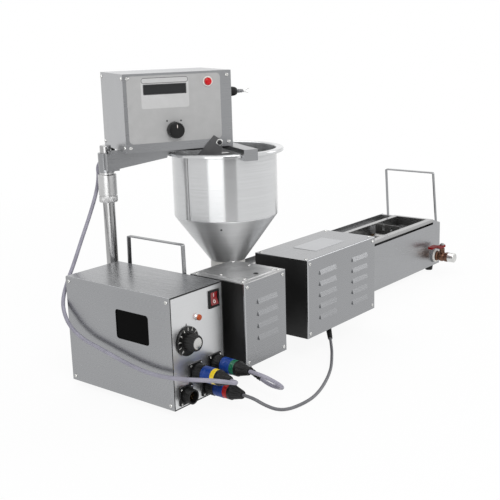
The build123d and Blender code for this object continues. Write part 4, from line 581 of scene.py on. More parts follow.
def tinted_pane(name, tint, rough, through, shine, smear=18.0):
    """A dark glossy pane; smear is the width of the wipe marks in mm."""
    material, tree, shader = new_finish(name, Base_Color=linear(tint), Transmission_Weight=through, IOR=1.49,
                                        Specular_IOR_Level=shine)
    wipe = noise(tree, local(tree), smear, Detail=4.0, Distortion=1.2)
    tree.links.new(span(tree, wipe, 0.35, 0.7, rough, rough + 0.08), shader.inputs["Roughness"])
    return material


smoked_pane = tinted_pane("acrylic_smoked_pane", "#040404", 0.08, 0.04, 0.02)
display_pane = tinted_pane("liquid_crystal_pane_dark", "#2a2b2c", 0.12, 0.0, 0.2)
print("panes:", smoked_pane.name, display_pane.name)

# %% [markdown]
# ## Finishes on the CAD pieces
# Each piece that keeps its CAD shape gets its finish here. The table reads as a parts list: one finish, then
# the pieces that have it. The pieces that a more detailed one replaces further on aren't listed.

# %% Assign finishes
FINISHES = (
    (cover_steel, ("control_cover",)),
    (front_steel, ("control_base", "terminal_box_cover", "drive_box_cover", "post_bracket", "exit_ramp")),
    (face_metal, ("control_face",)),
    (head_steel, ("head_case",)),
    (arm_steel, ("head_panel", "swing_arm")),
    (trough_steel, ("trough_casing", "drain_pipe")),
    (strip_steel, ("left_handle", "right_handle")),
    (rod_steel, ("post", "plunger", "valve_stem")),
    (lid_steel, ("terminal_box_lid",)),
    (bath_steel, ("bath",)),
    (wheel_steel, ("flipper_wheel", "ejector_wheel")),
    (case_paint, ("terminal_box_case", "drive_box_case")),
    (black_abs, ("rocker_bezel", "panel_sockets", "thermostat")),
    (black_rubber, ("rubber_feet",)),
    (red_abs, ("rocker_switch",)),
    (amber_lens, ("lamp_lens",)),
    (chrome, ("lamp_bezel",)),
    (smoked_pane, ("control_window",)),
    (display_pane, ("display_window",)),
    (acetal_white, ("dispenser_cylinder",)),
    (bronze, ("shaft_bushes",)),
    (dark_steel, ("heating_element", "drive_chain", "flipper_sprocket", "ejector_sprocket")),
    (plate_steel, ("guide_plate",)),
    (motor_paint, ("gear_motor", "dosing_motor")),
    (lever_vinyl, ("valve_lever",)),
    (cap_plate, ("drain_cap",)),
)
for finish, names in FINISHES:
    for name in names:
        nodes[name].data.materials.clear()
        nodes[name].data.materials.append(finish)
dressed = {name for finish, names in FINISHES for name in names}
print("dressed", len(dressed), "of", len(nodes), "nodes; to be replaced:", sorted(set(nodes) - dressed))

# %% [markdown]
# ## Cables and their plugs
# A panel plug is a small assembly: a ribbed black sleeve that grips the socket, a blue coupling nut, a
# coloured code ring that tells which cable it is, and a tapered back nut with flats for the fingers. All four
# are turned parts, so one profile each does it.

# %% Plugs
PLUG_RIBS, RIB_DEPTH, BACK_FLATS, FLAT_DEPTH = 22, 0.8, 8, 0.9
PLUG_STEPS, FIRST_RIBBED = 88, 4
SLEEVE = ((0, 16.3), (11.6, 16.3), (11.6, 5.0), (12.6, 5.0), (13.3, 6.0), (13.3, 18.2), (12.6, 19.0),
          (0, 19.0))
BAND = ((0, 19.0), (11.4, 19.0), (12.4, 19.8), (12.4, 26.0), (11.9, 26.6), (11.9, 28.0), (12.4, 28.6),
        (12.4, 36.8), (11.6, 37.5), (0, 37.5))
CODE_RING = ((0, 37.5), (11.2, 37.5), (11.9, 38.1), (11.9, 45.3), (11.2, 46.0), (0, 46.0))
BACK_NUT = ((0, 46.0), (11.6, 46.0), (12.0, 46.8), (12.0, 51.0), (11.2, 52.0), (8.4, 62.0), (6.6, 68.6),
            (6.0, 70.0), (2.9, 70.0), (2.9, 66.0), (0, 66.0))


def plug(name, x, z, ring_finish):
    """One cable plug on the control face, as four turned pieces."""
    parts = []
    for part, profile, ribs, depth, finish, slot in (
            ("sleeve", SLEEVE, PLUG_RIBS, RIB_DEPTH, black_abs, "black_plastic"),
            ("back_nut", BACK_NUT, BACK_FLATS, FLAT_DEPTH, black_abs, "black_plastic"),
            ("band", BAND, 0, 0.0, band_blue, "blue_plastic"),
            ("ring", CODE_RING, 0, 0.0, ring_finish, "ring_colour")):
        with piece(f"{name}_plug_{part}", finish, "machine", slot) as bm:
            ribbed(bm, profile, facing(spot(x, 0, z), FRONT), FIRST_RIBBED, ribs, depth, PLUG_STEPS)
        parts.append(bpy.data.objects[f"{name}_plug_{part}"])
    return parts


plugs = {
    "head": plug("head", 48, 49, ring_yellow),
    "heater": plug("heater", 92, 49.5, ring_green),
    "drive": plug("drive", 75, 17.5, ring_red),
}
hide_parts("cable_plugs")
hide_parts("plug_bands")
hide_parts("plug_rings")
print("plugs:", [len(parts) for parts in plugs.values()])

# %% [markdown]
# Three grey sheathed cables leave the plugs. A NURBS curve with the drawing's points as its control points
# gives a line without corners: it cuts inside each bend, as a real cable does. The two short cables keep
# their curves, and a round bevel gives them thickness.

# %% Short cables
HEATER_CABLE_POINTS = (
    (92, -70, 49.5), (92, -88, 49.5), (100, -107, 41), (118, -112, 26), (135, -97, 14), (144, -65.8, 9.4),
    (145.4, -49, 15.7))
DRIVE_CABLE_POINTS = (
    (75, -70, 17.5), (75, -88, 17.5), (80, -105, 9), (95, -117, -1.5), (116, -123, -7), (142, -128, -7.3),
    (172, -128, -7.2), (204, -120, -7.3), (234, -109, -7.2), (266, -95, -7.3), (296, -80, -6),
    (322, -64, -1.5), (351.2, -44.6, 3.6), (368.3, -29.7, 14.5))


def cable_line(name, points):
    """A smooth curve with the route's points as its control points."""
    curve = bpy.data.curves.new(name, "CURVE")
    curve.dimensions = "3D"
    spline = curve.splines.new("NURBS")
    spline.points.add(len(points) - 1)
    for control, point in zip(spline.points, points):
        control.co = (*spot(*point), 1.0)
    spline.order_u = 3
    spline.use_endpoint_u = True
    spline.resolution_u = 12
    return bpy.data.objects.new(name, curve)


def laid_cable(name, points, diameter, finish):
    """A cable that stays a curve: it leaves its plug and ends in a strain relief; sizes in mm."""
    cable = cable_line(f"{name}_cable_sheath", points)
    cable.data.bevel_depth = diameter / 2 * MM
    cable.data.bevel_resolution = 5
    cable.data.use_fill_caps = True
    cable.data.materials.append(finish)
    scene.collection.objects.link(cable)
    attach(cable, "machine")
    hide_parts(f"{name}_cable")


laid_cable("heater", HEATER_CABLE_POINTS, 6.2, sheath_lilac)
laid_cable("drive", DRIVE_CABLE_POINTS, 5.2, sheath_grey)
print("short cables:", len(HEATER_CABLE_POINTS), "and", len(DRIVE_CABLE_POINTS), "points")

# %% [markdown]
# The long cable runs up to the swinging head. It is a mesh, a tube of rings round the points of its curve.
# Each ring is turned on from the last one by the smallest angle, which keeps the tube from twisting.

# %% Head cable
HEAD_CABLE_D, HEAD_CABLE_LENGTH, TUBE_SIDES = 6.4, 669, 14
HEAD_CABLE_POINTS = (
    (48, -70, 49), (48, -78, 49), (41, -87, 52), (29.5, -88, 56.5), (17, -82.5, 61), (4.5, -71, 64),
    (-6, -54, 64.5), (-12, -30, 62), (-13.5, 0, 58.5), (-13, 36, 56.5), (-12.5, 74, 60), (-12, 110, 66.5),
    (-12, 146, 74), (-12.3, 180, 80.5), (-12.5, 207, 93), (-11, 224, 110), (-5, 236, 132), (15, 246, 157),
    (41, 256, 182), (65, 264, 212), (95, 271, 252), (119, 277, 288), (134, 286, 313),
    (142.36, 297.21, 330.66), (152.87, 294.4, 339.48))

guide = cable_line("head_cable_line", HEAD_CABLE_POINTS)
line = bpy.data.meshes.new_from_object(guide)
route = [vertex.co.copy() for vertex in line.vertices]
bpy.data.objects.remove(guide)
bpy.data.meshes.remove(line)

bm = bmesh.new()
heading = (route[1] - route[0]).normalized()
side = heading.orthogonal().normalized()
rings = []
for i, point in enumerate(route):
    onward = (route[min(i + 1, len(route) - 1)] - route[max(i - 1, 0)]).normalized()
    side = (heading.rotation_difference(onward) @ side).normalized()
    heading = onward
    other = heading.cross(side)
    rings.append([bm.verts.new(point + (side * x + other * y) * MM)
                  for x, y in ring_of(HEAD_CABLE_D / 2, steps=TUBE_SIDES)])
skin(bm, rings)
head_cable = as_object("head_cable_sheath", bm, sheath_lilac, smooth_under=180)
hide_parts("head_cable")
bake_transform(head_cable)
print("head cable:", len(route), "points along its line")

# %% [markdown]
# ## Hopper
# The hopper is spun from sheet over a former, which leaves fine rings round the axis. They smear a mirror
# image upwards and downwards and keep it sharp sideways. The shader's anisotropy does that when its tangent
# runs round the axis. A haze of flour keeps the metal from a full mirror, and the cone, where dough slides,
# is duller than the wall.

# %% Spun steel
HOPPER_AXIS = on_arm(201.73, -25.07, 0.0)
HOPPER_R, CONE_TOP, RING_LENGTH = 90.7, 238.8, 180


def spun_steel(name, pale, dark, rough, dull, ring=1.4, depth=0.003):
    """Steel polished on a lathe: rings at a spacing in mm, and a duller cone below the bend."""
    material, tree, shader = new_finish(name, Metallic=0.75, Anisotropic=0.8, Anisotropic_Rotation=0.25)
    round_axis = add_node(tree, "Tangent", direction_type="RADIAL", axis="Z")
    tree.links.new(round_axis.outputs[0], shader.inputs["Tangent"])
    place = local(tree)
    scale = [1 / (size * MM) for size in (RING_LENGTH, RING_LENGTH, ring)]
    stretch = add_node(tree, "Mapping", {"Vector": place, "Scale": scale})
    rings = noise(tree, stretch.outputs[0], METRE, Detail=4.0, Roughness=0.65)
    height = add_node(tree, "SeparateXYZ", {"Vector": place}).outputs["Z"]
    bend_height = (CONE_TOP + CORNER.z) * MM
    textured(tree, shader, (rings, (0.32, 0.68), (dark, pale)),
             (height, (bend_height - MM, bend_height + MM), (dull, rough)), (rings, depth, 0.1))
    return material


hopper_steel = spun_steel("stainless_hopper_spun", "#cfd0d1", "#c6c7c8", 0.20, 0.44)
print("hopper finish:", hopper_steel.name)

# %% [markdown]
# The form is a straight wall, a cone and a lip rolled outwards. The drawing has its plain section. Here the
# bends are rounded as a roller leaves them, and one welded seam runs down the wall.

# %% Hopper and seam
HOPPER_SECTION = (
    (89.2, 352.9), (102.3, 352.9), (102.3, 346.9), (100.8, 346.9), (100.8, 351.4), (HOPPER_R, 351.4),
    (HOPPER_R, CONE_TOP), (31.2, 156.9), (29.3, 156.9), (89.2, 239.5))
HOPPER_BENDS = (2.2, 2.2, 0.6, 0.6, 0.7, 0.7, 5.0, 0, 0, 4.0)
SEAM_AT, SEAM_W, SEAM_OUT, SEAM_SINK, SEAM_STEP = math.radians(178), 1.6, 0.55, 0.2, 5
SEAM_FROM, SEAM_TO = 240, 350


def bend(corner, before, after, radius, steps=6):
    """Points of a rounded bend at a corner of a profile, in mm."""
    corner, before, after = Vector(corner), Vector(before), Vector(after)
    into, onward = (before - corner).normalized(), (after - corner).normalized()
    half = into.angle(onward) / 2
    centre = corner + (into + onward).normalized() * radius / math.sin(half)
    first, last = (corner + way * radius / math.tan(half) - centre for way in (into, onward))
    return [tuple(centre + first.slerp(last, i / steps).normalized() * radius) for i in range(steps + 1)]


section = []
for i, (point, radius) in enumerate(zip(HOPPER_SECTION, HOPPER_BENDS)):
    after = HOPPER_SECTION[(i + 1) % len(HOPPER_SECTION)]
    section += bend(point, HOPPER_SECTION[i - 1], after, radius) if radius else [point]
with piece("hopper_shell", hopper_steel, "dosing_arm", "brushed_stainless", "hopper") as bm:
    turned(bm, section + section[:1], Matrix.Translation(HOPPER_AXIS), segments=128)

seam_out = Vector((math.cos(SEAM_AT), math.sin(SEAM_AT), 0.0))
seam_side = UP.cross(seam_out)
with piece("hopper_weld_seam", seam_steel, "dosing_arm", "brushed_stainless") as bm:
    bead = []
    for z in range(SEAM_FROM, SEAM_TO + 1, SEAM_STEP):
        swell = 0.9 + 0.1 * math.sin(z * 1.7)
        foot = HOPPER_AXIS + (seam_out * (HOPPER_R - SEAM_SINK) + UP * z) * MM
        bead.append([bm.verts.new(foot + (seam_side * SEAM_W / 2 * across + seam_out * rise * swell) * MM)
                     for across, rise in ((-1, 0), (-0.5, SEAM_OUT), (0.5, SEAM_OUT), (1, 0))])
    skin(bm, bead)
print("hopper:", len(section), "points in its section")

# %% [markdown]
# ## Screws
# Thirty-two pan-head screws hold the covers. Each is a low dome with a cross recess, and the crosses stand at
# different angles, as a screwdriver leaves them.

# %% Screws
BOX_FRONT_Y, LID_Z = -30.2, 170.4
HEAD_FRONT_B, HEAD_SIDES = -71.8, ((16.8, -ALONG), (200.0, ALONG))
COVER_YS, COVER_ZS = (7.5, 221.5), (7.5, 167.5)
BOX_XS, BOX_ZS, LID_YS = ((140.0, 231.0), (307.8, 509.2)), (39.8, 162.9), (-22.7, 73.2)
HEAD_AS, HEAD_BS, HEAD_ZS = (24.3, 192.5), (-64.3, 63.6), (369.0, 478.7)


def recess(size, width, turn):
    """A cross-shaped outline in mm."""
    s, w = size / 2, width / 2
    arm = (Vector((w, w)), Vector((w, s)), Vector((-w, s)))
    turns = [Matrix.Rotation(turn + quarter * math.pi / 2, 2) for quarter in range(4)]
    return [turned_by @ corner for turned_by in turns for corner in arm]


def pan_head(bm, place, radius, height, turn):
    """A screw head with a rounded edge and a cross recess, as one closed skin."""
    rim = turned(bm, ((0, 0), (radius, 0), (radius, 0.3 * height), (0.92 * radius, 0.7 * height),
                      (0.72 * radius, height)), place, 24)[-1]
    cross = recess(1.15 * radius, 0.34 * radius, turn)
    mouth, floor = [[bm.verts.new(place @ (Vector((x, y, z)) * MM)) for x, y in cross]
                    for z in (height, 0.55 * height)]
    for i in range(len(cross)):
        bm.faces.new((mouth[i - 1], mouth[i], floor[i], floor[i - 1]))
    bm.faces.new(floor)
    edges = [bm.edges.get((loop[i - 1], loop[i])) for loop in (rim, mouth) for i in range(len(loop))]
    bmesh.ops.triangle_fill(bm, edges=edges, use_beauty=True, normal=place.to_3x3() @ UP)


def screws(name, places, body, instead_of=None, radius=3.0, height=1.5):
    """A set of screws as one piece."""
    with piece(name, screw_zinc, body, "plated_screw", instead_of, smooth_under=30) as bm:
        for i, place in enumerate(places):
            pan_head(bm, place, radius, height, turn=0.9 * i)


panel_places = [facing(spot(0, y, z), LEFT) for y in COVER_YS for z in COVER_ZS]
for pair in BOX_XS:
    panel_places += [facing(spot(x, BOX_FRONT_Y, z), FRONT) for x in pair for z in BOX_ZS]
    panel_places += [facing(spot(x, y, LID_Z), UP, -FRONT) for x in pair for y in LID_YS]
head_places = [facing(on_arm(a, HEAD_FRONT_B, z), -ACROSS) for a in HEAD_AS for z in HEAD_ZS]
for a, out in HEAD_SIDES:
    head_places += [facing(on_arm(a, b, z), out) for b in HEAD_BS for z in HEAD_ZS]
screws("panel_screw_heads", panel_places, "machine", "panel_screws")
screws("head_screw_heads", head_places, "dosing_arm", "head_screws")
print("screws:", len(panel_places), "on the boxes,", len(head_places), "on the head")

# %% [markdown]
# ## Strain reliefs
# Where a cable enters a box, a nylon nut with six flats screws into the sheet and a rubber sleeve tapers
# onto the cable, slit by rings so that it can bend. The head's side has a blind one, with a domed nut and a
# short stub.

# %% Strain reliefs
RELIEF_DEEP, GLAND_R, GLAND_H = 5.0, 8.0, 6.0
SLEEVE_ROOT_R, SLEEVE_TIP_R, SLEEVE_RINGS = 5.2, 4.2, 5
SIDE_HOLE = facing(on_arm(200.0, -56.5, 450.0), ALONG)
SIDE_RING = ((0, 0), (9.0, 0), (9.0, 2.2), (8.2, 3.0), (0, 3.0))
SIDE_DOME = ((0, 3.0), (7.8, 3.0), (7.8, 7.0), (7.4, 10.5), (6.6, 13.2), (5.4, 15.0), (0, 15.0))


def hex_nut(bm, place, radius, height, bevel=0.8):
    """A six-sided nut with its corners turned off at the outer end."""
    turned(bm, ((0, 0), (radius, 0), (radius, height - bevel), (radius - bevel, height), (0, height)), place,
           segments=6)


def bend_relief(bm, place, length, root, tip, ribs, bore):
    """A tapered rubber sleeve with rings cut into it."""
    profile = [(0, 0)]
    for i in range(ribs):
        for share, cut in ((0.0, 0.0), (0.55, 0.0), (0.62, 0.9), (0.93, 0.9)):
            along = (i + share) / ribs
            profile.append((root + (tip - root) * along - cut, length * along))
    profile += [(tip, length), (bore, length), (bore, length - 1.0), (0, length - 1.0)]
    turned(bm, profile, place, 32)


def box_gland(name, at, way, length, bore, body, instead_of=None):
    """The nut under a sheet and the sleeve that leaves it in the cable's direction."""
    with piece(f"{name}_gland_nut", black_abs, body, "black_rubber", instead_of, smooth_under=25) as bm:
        hex_nut(bm, facing(at, -UP, ALONG), GLAND_R, GLAND_H)
    with piece(f"{name}_gland_sleeve", black_rubber, body, "black_rubber") as bm:
        bend_relief(bm, facing(at - UP * RELIEF_DEEP * MM, way), length, SLEEVE_ROOT_R, SLEEVE_TIP_R,
                    SLEEVE_RINGS, bore)


box_gland("heater", spot(148.0, -18.2, 32.3), (-0.08, -0.93, -0.35), 33.0, 3.1, "machine", "cable_glands")
box_gland("drive", spot(388.3, -12.2, 32.3), (-0.68, -0.593, -0.434), 29.5, 2.6, "machine")
box_gland("head_cable", on_arm(27.3, 59.1, 361.5), (-0.75, 0.2, -0.63), 27.0, 3.2, "dosing_arm")
with piece("side_gland_ring", black_abs, "dosing_arm", "black_rubber", "head_gland") as bm:
    turned(bm, SIDE_RING, SIDE_HOLE, 40)
with piece("side_gland_dome", black_abs, "dosing_arm", "black_rubber") as bm:
    turned(bm, SIDE_DOME, SIDE_HOLE, 40)
with piece("side_gland_stub", grey_rubber, "dosing_arm", "black_rubber") as bm:
    bend_relief(bm, moved(SIDE_HOLE, 0, 0, 14.5), length=12.5, root=3.4, tip=2.8, ribs=3, bore=1.2)
print("strain reliefs: heater, drive, head cable and the blind one on the head's side")

# %% [markdown]
# ## Temperature dial
# The dial is moulded black plastic: a flat skirt with printed figures and marks, and a fluted grip with a
# spun aluminium disc on its end. The figures are text objects turned into flat meshes, and everything
# printed is one piece that turns with the dial.

# %% Dial
DIAL = facing(spot(32.5, 0, 101.5), FRONT)
FIRST_MARK, MARK_STEP = math.radians(225), math.radians(27)
FIGURE_H, FIGURE_T, FIGURE_R, DOT_AT_R, SKIRT_TOP = 5.4, 0.03, 18.4, 21.3, 4.0
GRIP = ((0, 3.9), (15.4, 3.9), (15.4, 4.4), (13.9, 4.8), (12.4, 20.4), (11.4, 21.8), (9.6, 21.8), (9.6, 21.2),
        (0, 21.2))
SKIRT = ((0, 1.0), (21.4, 1.0), (22.5, 1.6), (22.5, 3.4), (21.9, SKIRT_TOP), (0, SKIRT_TOP))
DIAL_CAP = ((0, 21.2), (8.9, 21.2), (8.9, 21.8), (8.5, 22.0), (0, 21.9))
DOT = ((0, 0), (0.5, 0), (0.5, 0.05), (0, 0.05))
INDEX, INDEX_T, INDEX_AT_R = ((-1.6, 0), (1.6, 0), (0, 4.2)), 0.15, 23.6


def figure(bm, text, place):
    """A flat printed figure, centred on a place."""
    curve = bpy.data.curves.new("figure", "FONT")
    curve.body = text
    curve.size = FIGURE_H * MM
    curve.align_x = "CENTER"
    curve.align_y = "CENTER"
    curve.extrude = FIGURE_T * MM
    pour(bm, curve, place)


def polar(angle, radius, out):
    """A place at an angle on the dial, with its Y axis pointing away from the centre."""
    return moved(DIAL @ Matrix.Rotation(angle - math.pi / 2, 4, "Z"), 0, radius, out)


with piece("dial_body", knob_abs, "temperature_dial", "black_plastic", "dial_knob") as bm:
    ribbed(bm, GRIP, DIAL, first=3, ribs=18, depth=0.9, segments=144)
    turned(bm, SKIRT, DIAL, 72)
with piece("dial_cap", cap_steel, "temperature_dial", "chrome_trim") as bm:
    turned(bm, DIAL_CAP, DIAL, 56)
with piece("dial_print", acetal_white, "temperature_dial", "white_plastic") as bm:
    for i in range(11):
        figure(bm, str(i), polar(FIRST_MARK - MARK_STEP * i, FIGURE_R, SKIRT_TOP + 0.02))
        turned(bm, DOT, polar(FIRST_MARK - MARK_STEP * i, DOT_AT_R, SKIRT_TOP), 10)
with piece("dial_index_mark", black_abs, "machine", "black_plastic") as bm:
    cut_sheet(bm, (INDEX,), INDEX_T, polar(math.radians(90), INDEX_AT_R, 0.0))
print("dial: figures 0 to 10")

# %% [markdown]
# ## Rocker marks
# A white line on the rocker's upper half stands for on, and a ring on its lower half for off. Each half is
# a flat face, so a place on it and the direction in which it looks are enough to lay a mark down.

# %% Rocker marks
ROCKER_X, ROCKER_Z, MARK_T = 95.5, 151.7, 0.08
UPPER_HALF = facing(spot(ROCKER_X, -0.56, ROCKER_Z + 5.5), (0, -0.997, -0.073))
LOWER_HALF = facing(spot(ROCKER_X, -1.79, ROCKER_Z - 4.5), (0, -0.950, 0.312))
ON_LINE, OFF_RING = (box_outline(1.3, 5.4),), (ring_of(2.7), ring_of(1.6))

with piece("rocker_marks", ink_white, "power_rocker", "white_plastic") as bm:
    cut_sheet(bm, ON_LINE, MARK_T, UPPER_HALF)
    cut_sheet(bm, OFF_RING, MARK_T, LOWER_HALF)
print("rocker: a line and a ring")

# %% [markdown]
# ## Control face trim
# A thin black frame round the face is a painted shadow: the dark line of the gap where the face meets the
# cover. Each round socket sits on a square flange with a small screw in every corner, and the one without a
# plug shows its brass pins.

# %% Painted shadow line, flange screws and pins
FACE_W, FACE_H, SHADOW_LINE_W, SHADOW_LINE_T = 116.0, 175.0, 1.5, 0.3
CONTROL_FACE = facing(spot(0, 0, 0), FRONT)
FACE_MIDDLE = (FACE_W / 2, FACE_H / 2)
SOCKETS = ((25.0, 18.5), (75.0, 17.5), (48.0, 49.0), (92.0, 49.5))
FLANGE_T, FLANGE_SCREW_AT = 2.5, 11.3
PIN_R, PIN_L, PIN_CIRCLE_R = 0.9, 9.0, 5.2
PIN = ((0, 0), (PIN_R, 0), (PIN_R, PIN_L - 1), (PIN_R / 2, PIN_L), (0, PIN_L))

# Painted shadow: a thin dark frame where the face meets the cover.
with piece("control_face_painted_shadow_line", black_rubber, "machine", "black_rubber") as bm:
    cut_sheet(bm, [box_outline(FACE_W - 2 * edge, FACE_H - 2 * edge, FACE_MIDDLE) for edge in (0, SHADOW_LINE_W)],
              SHADOW_LINE_T, CONTROL_FACE)
flange_places = [moved(CONTROL_FACE, x + sx * FLANGE_SCREW_AT, z + sz * FLANGE_SCREW_AT, FLANGE_T)
                 for x, z in SOCKETS for sx in (-1, 1) for sz in (-1, 1)]
screws("socket_flange_screws", flange_places, "machine", radius=1.7, height=0.9)
with piece("socket_pins", bronze, "machine", "bronze_bush") as bm:
    for x, z in [SOCKETS[0]] + ring_of(PIN_CIRCLE_R, SOCKETS[0], steps=6):
        turned(bm, PIN, moved(CONTROL_FACE, x, z, FLANGE_T), 12)
print("control face: a gasket,", len(flange_places), "flange screws, seven pins")

# %% [markdown]
# ## Head front
# The head's front sheet carries a printed polyester film with rounded corners, a paler field round the
# display, a blank title field above it and two dots at the ends of the knob's turn. Film and ink have
# almost no height, so each is a cut sheet a fraction of a millimetre thick, laid on the one below.

# %% Film and print
HEAD_FRONT = facing(on_arm(0.0, HEAD_FRONT_B, 0.0), -ACROSS)
BUTTON_AT, DISPLAY_AT, TITLE_AT = (158.9, 469.3), (85.7, 460.5), (86.0, 474.6)
TURN_ENDS, TURN_DOT_R = ((86.8, 409.5), (110.5, 408.8)), 1.5
FILM, FIELD = rounded(158.0, 107.0, 7.0, (101.7, 429.0)), rounded(80.0, 49.0, 3.5, (86.0, 455.0))
BUTTON_HOLE, DISPLAY_HOLE = ring_of(8.4, BUTTON_AT), rounded(70.0, 14.0, 0.6, DISPLAY_AT)
DISPLAY_FRAME = (rounded(72.6, 16.6, 1.2, DISPLAY_AT), DISPLAY_HOLE)
TITLE_FRAME = (rounded(79.0, 9.0, 4.5, TITLE_AT), rounded(77.4, 7.4, 3.7, TITLE_AT))
FILM_T, INK_T = 0.3, 0.06
ON_FILM = moved(HEAD_FRONT, 0, 0, FILM_T)
ON_FIELD = moved(ON_FILM, 0, 0, INK_T)

with piece("head_film", film_grey, "dosing_arm", "panel_white") as bm:
    cut_sheet(bm, (FILM, DISPLAY_HOLE, BUTTON_HOLE), FILM_T, HEAD_FRONT)
with piece("head_film_field", film_pale, "dosing_arm", "panel_white") as bm:
    cut_sheet(bm, (FIELD, DISPLAY_HOLE), INK_T, ON_FILM)
with piece("head_print", ink_dark, "dosing_arm", "black_plastic") as bm:
    cut_sheet(bm, DISPLAY_FRAME, INK_T, ON_FIELD)
    cut_sheet(bm, TITLE_FRAME, INK_T, ON_FIELD)
    for end in TURN_ENDS:
        cut_sheet(bm, (ring_of(TURN_DOT_R, end, 24),), INK_T, ON_FILM)
print("head front: film, pale field, display frame and two dots")

# %% [markdown]
# ## Dose knob, start button and bolted plate
# The knob is moulded with flutes for the fingers and a white line. The button is a red cap that moves in a
# white collar. The dark plate beside them hangs from one hexagon bolt with a washer.

# %% Knob, button and bolt
KNOB = moved(HEAD_FRONT, 98.7, 394.5, 0.0)
BUTTON = moved(HEAD_FRONT, *BUTTON_AT, 0.0)
BOLT = moved(HEAD_FRONT, 175.1, 368.8, 2.0)
KNOB_TOP, WASHER_T, BOLT_R, BOLT_H = 16.5, 1.1, 4.0, 3.0
KNOB_LINE = box_outline(1.1, 5.0, (0, 6.6))
KNOB_FORM = ((0, 1.0), (12.9, 1.0), (13.5, 1.8), (12.9, 15.2), (11.8, 16.8), (10.6, 17.0), (10.2, KNOB_TOP),
             (0, KNOB_TOP))
BUTTON_COLLAR = ((6.25, 0), (8.3, 0), (8.3, 1.3), (7.8, 1.9), (6.7, 2.0), (6.25, 1.6), (6.25, 0))
BUTTON_CAP = ((0, 0.2), (5.95, 0.2), (5.95, 4.3), (5.6, 5.1), (4.8, 5.5), (0, 5.6))
WASHER = ((0, 0), (5.6, 0), (5.6, 0.8), (5.2, WASHER_T), (0, WASHER_T))

with piece("dose_knob_body", knob_abs, "dose_knob", "black_plastic", "head_knob") as bm:
    ribbed(bm, KNOB_FORM, KNOB, first=2, ribs=24, depth=0.7, segments=144)
with piece("dose_knob_line", ink_white, "dose_knob", "white_plastic") as bm:
    cut_sheet(bm, (KNOB_LINE,), INK_T, moved(KNOB, 0, 0, KNOB_TOP))
with piece("start_button_collar", acetal_white, "dosing_arm", "white_plastic", "button_bezel") as bm:
    turned(bm, BUTTON_COLLAR, BUTTON)
with piece("start_button_cap", button_red, "start_key", "red_plastic", "start_button") as bm:
    turned(bm, BUTTON_CAP, BUTTON)
with piece("guide_plate_washer", screw_zinc, "dosing_arm", "plated_screw") as bm:
    turned(bm, WASHER, BOLT, 40)
with piece("guide_plate_bolt", dark_steel, "dosing_arm", "dark_steel", smooth_under=25) as bm:
    hex_nut(bm, moved(BOLT, 0, 0, WASHER_T), BOLT_R, BOLT_H)
print("knob, button and bolt in place")

# %% [markdown]
# ## Lock collar
# The collar that the arm rests on is turned steel with a groove, and its lowest centimetre is knurled for the
# hand. A knurl is a ring of small ribs, so the scalloped lathe form serves again.

# %% Knurled collar
COLLAR_RIBS, BORE_R = 56, 10.1
KNURL = ((BORE_R, 274.4), (14.7, 274.4), (15.4, 275.2), (15.4, 283.6), (14.7, 284.4), (BORE_R, 284.4),
         (BORE_R, 274.4))
COLLAR = ((BORE_R, 284.4), (14.4, 284.4), (14.4, 285.8), (15.0, 285.8), (15.4, 286.3), (15.4, 320.2),
          (14.7, 320.9), (12.2, 320.9), (12.2, 324.2), (BORE_R, 324.2), (BORE_R, 284.4))

with piece("lock_collar_knurled", collar_steel, "machine", "polished_stainless", "lock_collar") as bm:
    on_post = Matrix.Translation(POST)
    ribbed(bm, KNURL, on_post, first=2, ribs=COLLAR_RIBS, depth=0.5, segments=COLLAR_RIBS * 4)
    turned(bm, COLLAR, on_post, 96)
print("collar:", COLLAR_RIBS, "ribs in its knurl")

# %% [markdown]
# ## Lids and painted edge highlights
# A smaller plate is screwed onto the terminal box's lid, with a rubber grommet in it. The drive box carries a
# plain aluminium plate. Where each front cover folds round its case, a narrow bright strip on the bend is a
# painted highlight.

# %% Lid plates, grommet and painted edge highlights
BOX_Z0, BOX_X0S = 32.3, (132.5, 300.3)
ON_LID = facing(spot(0, 0, LID_Z), UP, -FRONT)
BOX_FRONT = facing(spot(0, BOX_FRONT_Y, 0), FRONT)
GROMMET_AT, GROMMET_R, LID_PLATE_T, DRIVE_PLATE_T = (189.0, -9.4), 4.2, 0.8, 0.4
LID_PLATE = (rounded(82.0, 60.0, 2.0, (188.5, 9.0)), ring_of(GROMMET_R, GROMMET_AT, 28))
LID_PLATE_XS, LID_PLATE_YS = (153.0, 224.0), (-15.0, 33.0)
DRIVE_PLATE = rounded(92.0, 50.0, 1.5, (411.0, 22.0))
GROMMET = ((0, 0), (GROMMET_R, 0), (GROMMET_R, 1.1), (3.6, 1.5), (2.6, 1.5), (2.2, 1.0), (0, 0.7))
EDGE_W, EDGE_T, EDGE_INSET = 3.0, 0.25, 0.2

with piece("terminal_lid_plate", lid_steel, "machine", "polished_stainless") as bm:
    cut_sheet(bm, LID_PLATE, LID_PLATE_T, ON_LID)
with piece("terminal_lid_grommet", black_rubber, "machine", "black_rubber") as bm:
    turned(bm, GROMMET, moved(ON_LID, *GROMMET_AT, 0), 32)
lid_places = [moved(ON_LID, x, y, LID_PLATE_T) for x in LID_PLATE_XS for y in LID_PLATE_YS]
screws("terminal_lid_plate_screws", lid_places, "machine", radius=2.4, height=1.2)
with piece("drive_lid_plate", plate_metal, "machine", "brushed_stainless") as bm:
    cut_sheet(bm, (DRIVE_PLATE,), DRIVE_PLATE_T, ON_LID)
# Painted highlight: a bright strip on each front cover's bend.
with piece("cover_painted_edge_highlights", edge_highlight_steel, "machine", "brushed_stainless") as bm:
    for x in BOX_X0S:
        edge_at = (x + EDGE_INSET + EDGE_W / 2, (BOX_Z0 + LID_Z) / 2)
        cut_sheet(bm, (rounded(EDGE_W, LID_Z - BOX_Z0 - 2 * EDGE_INSET, 1.0, edge_at),), EDGE_T, BOX_FRONT)
print("lids: two plates, a grommet,", len(lid_places), "small screws; two folded edges")

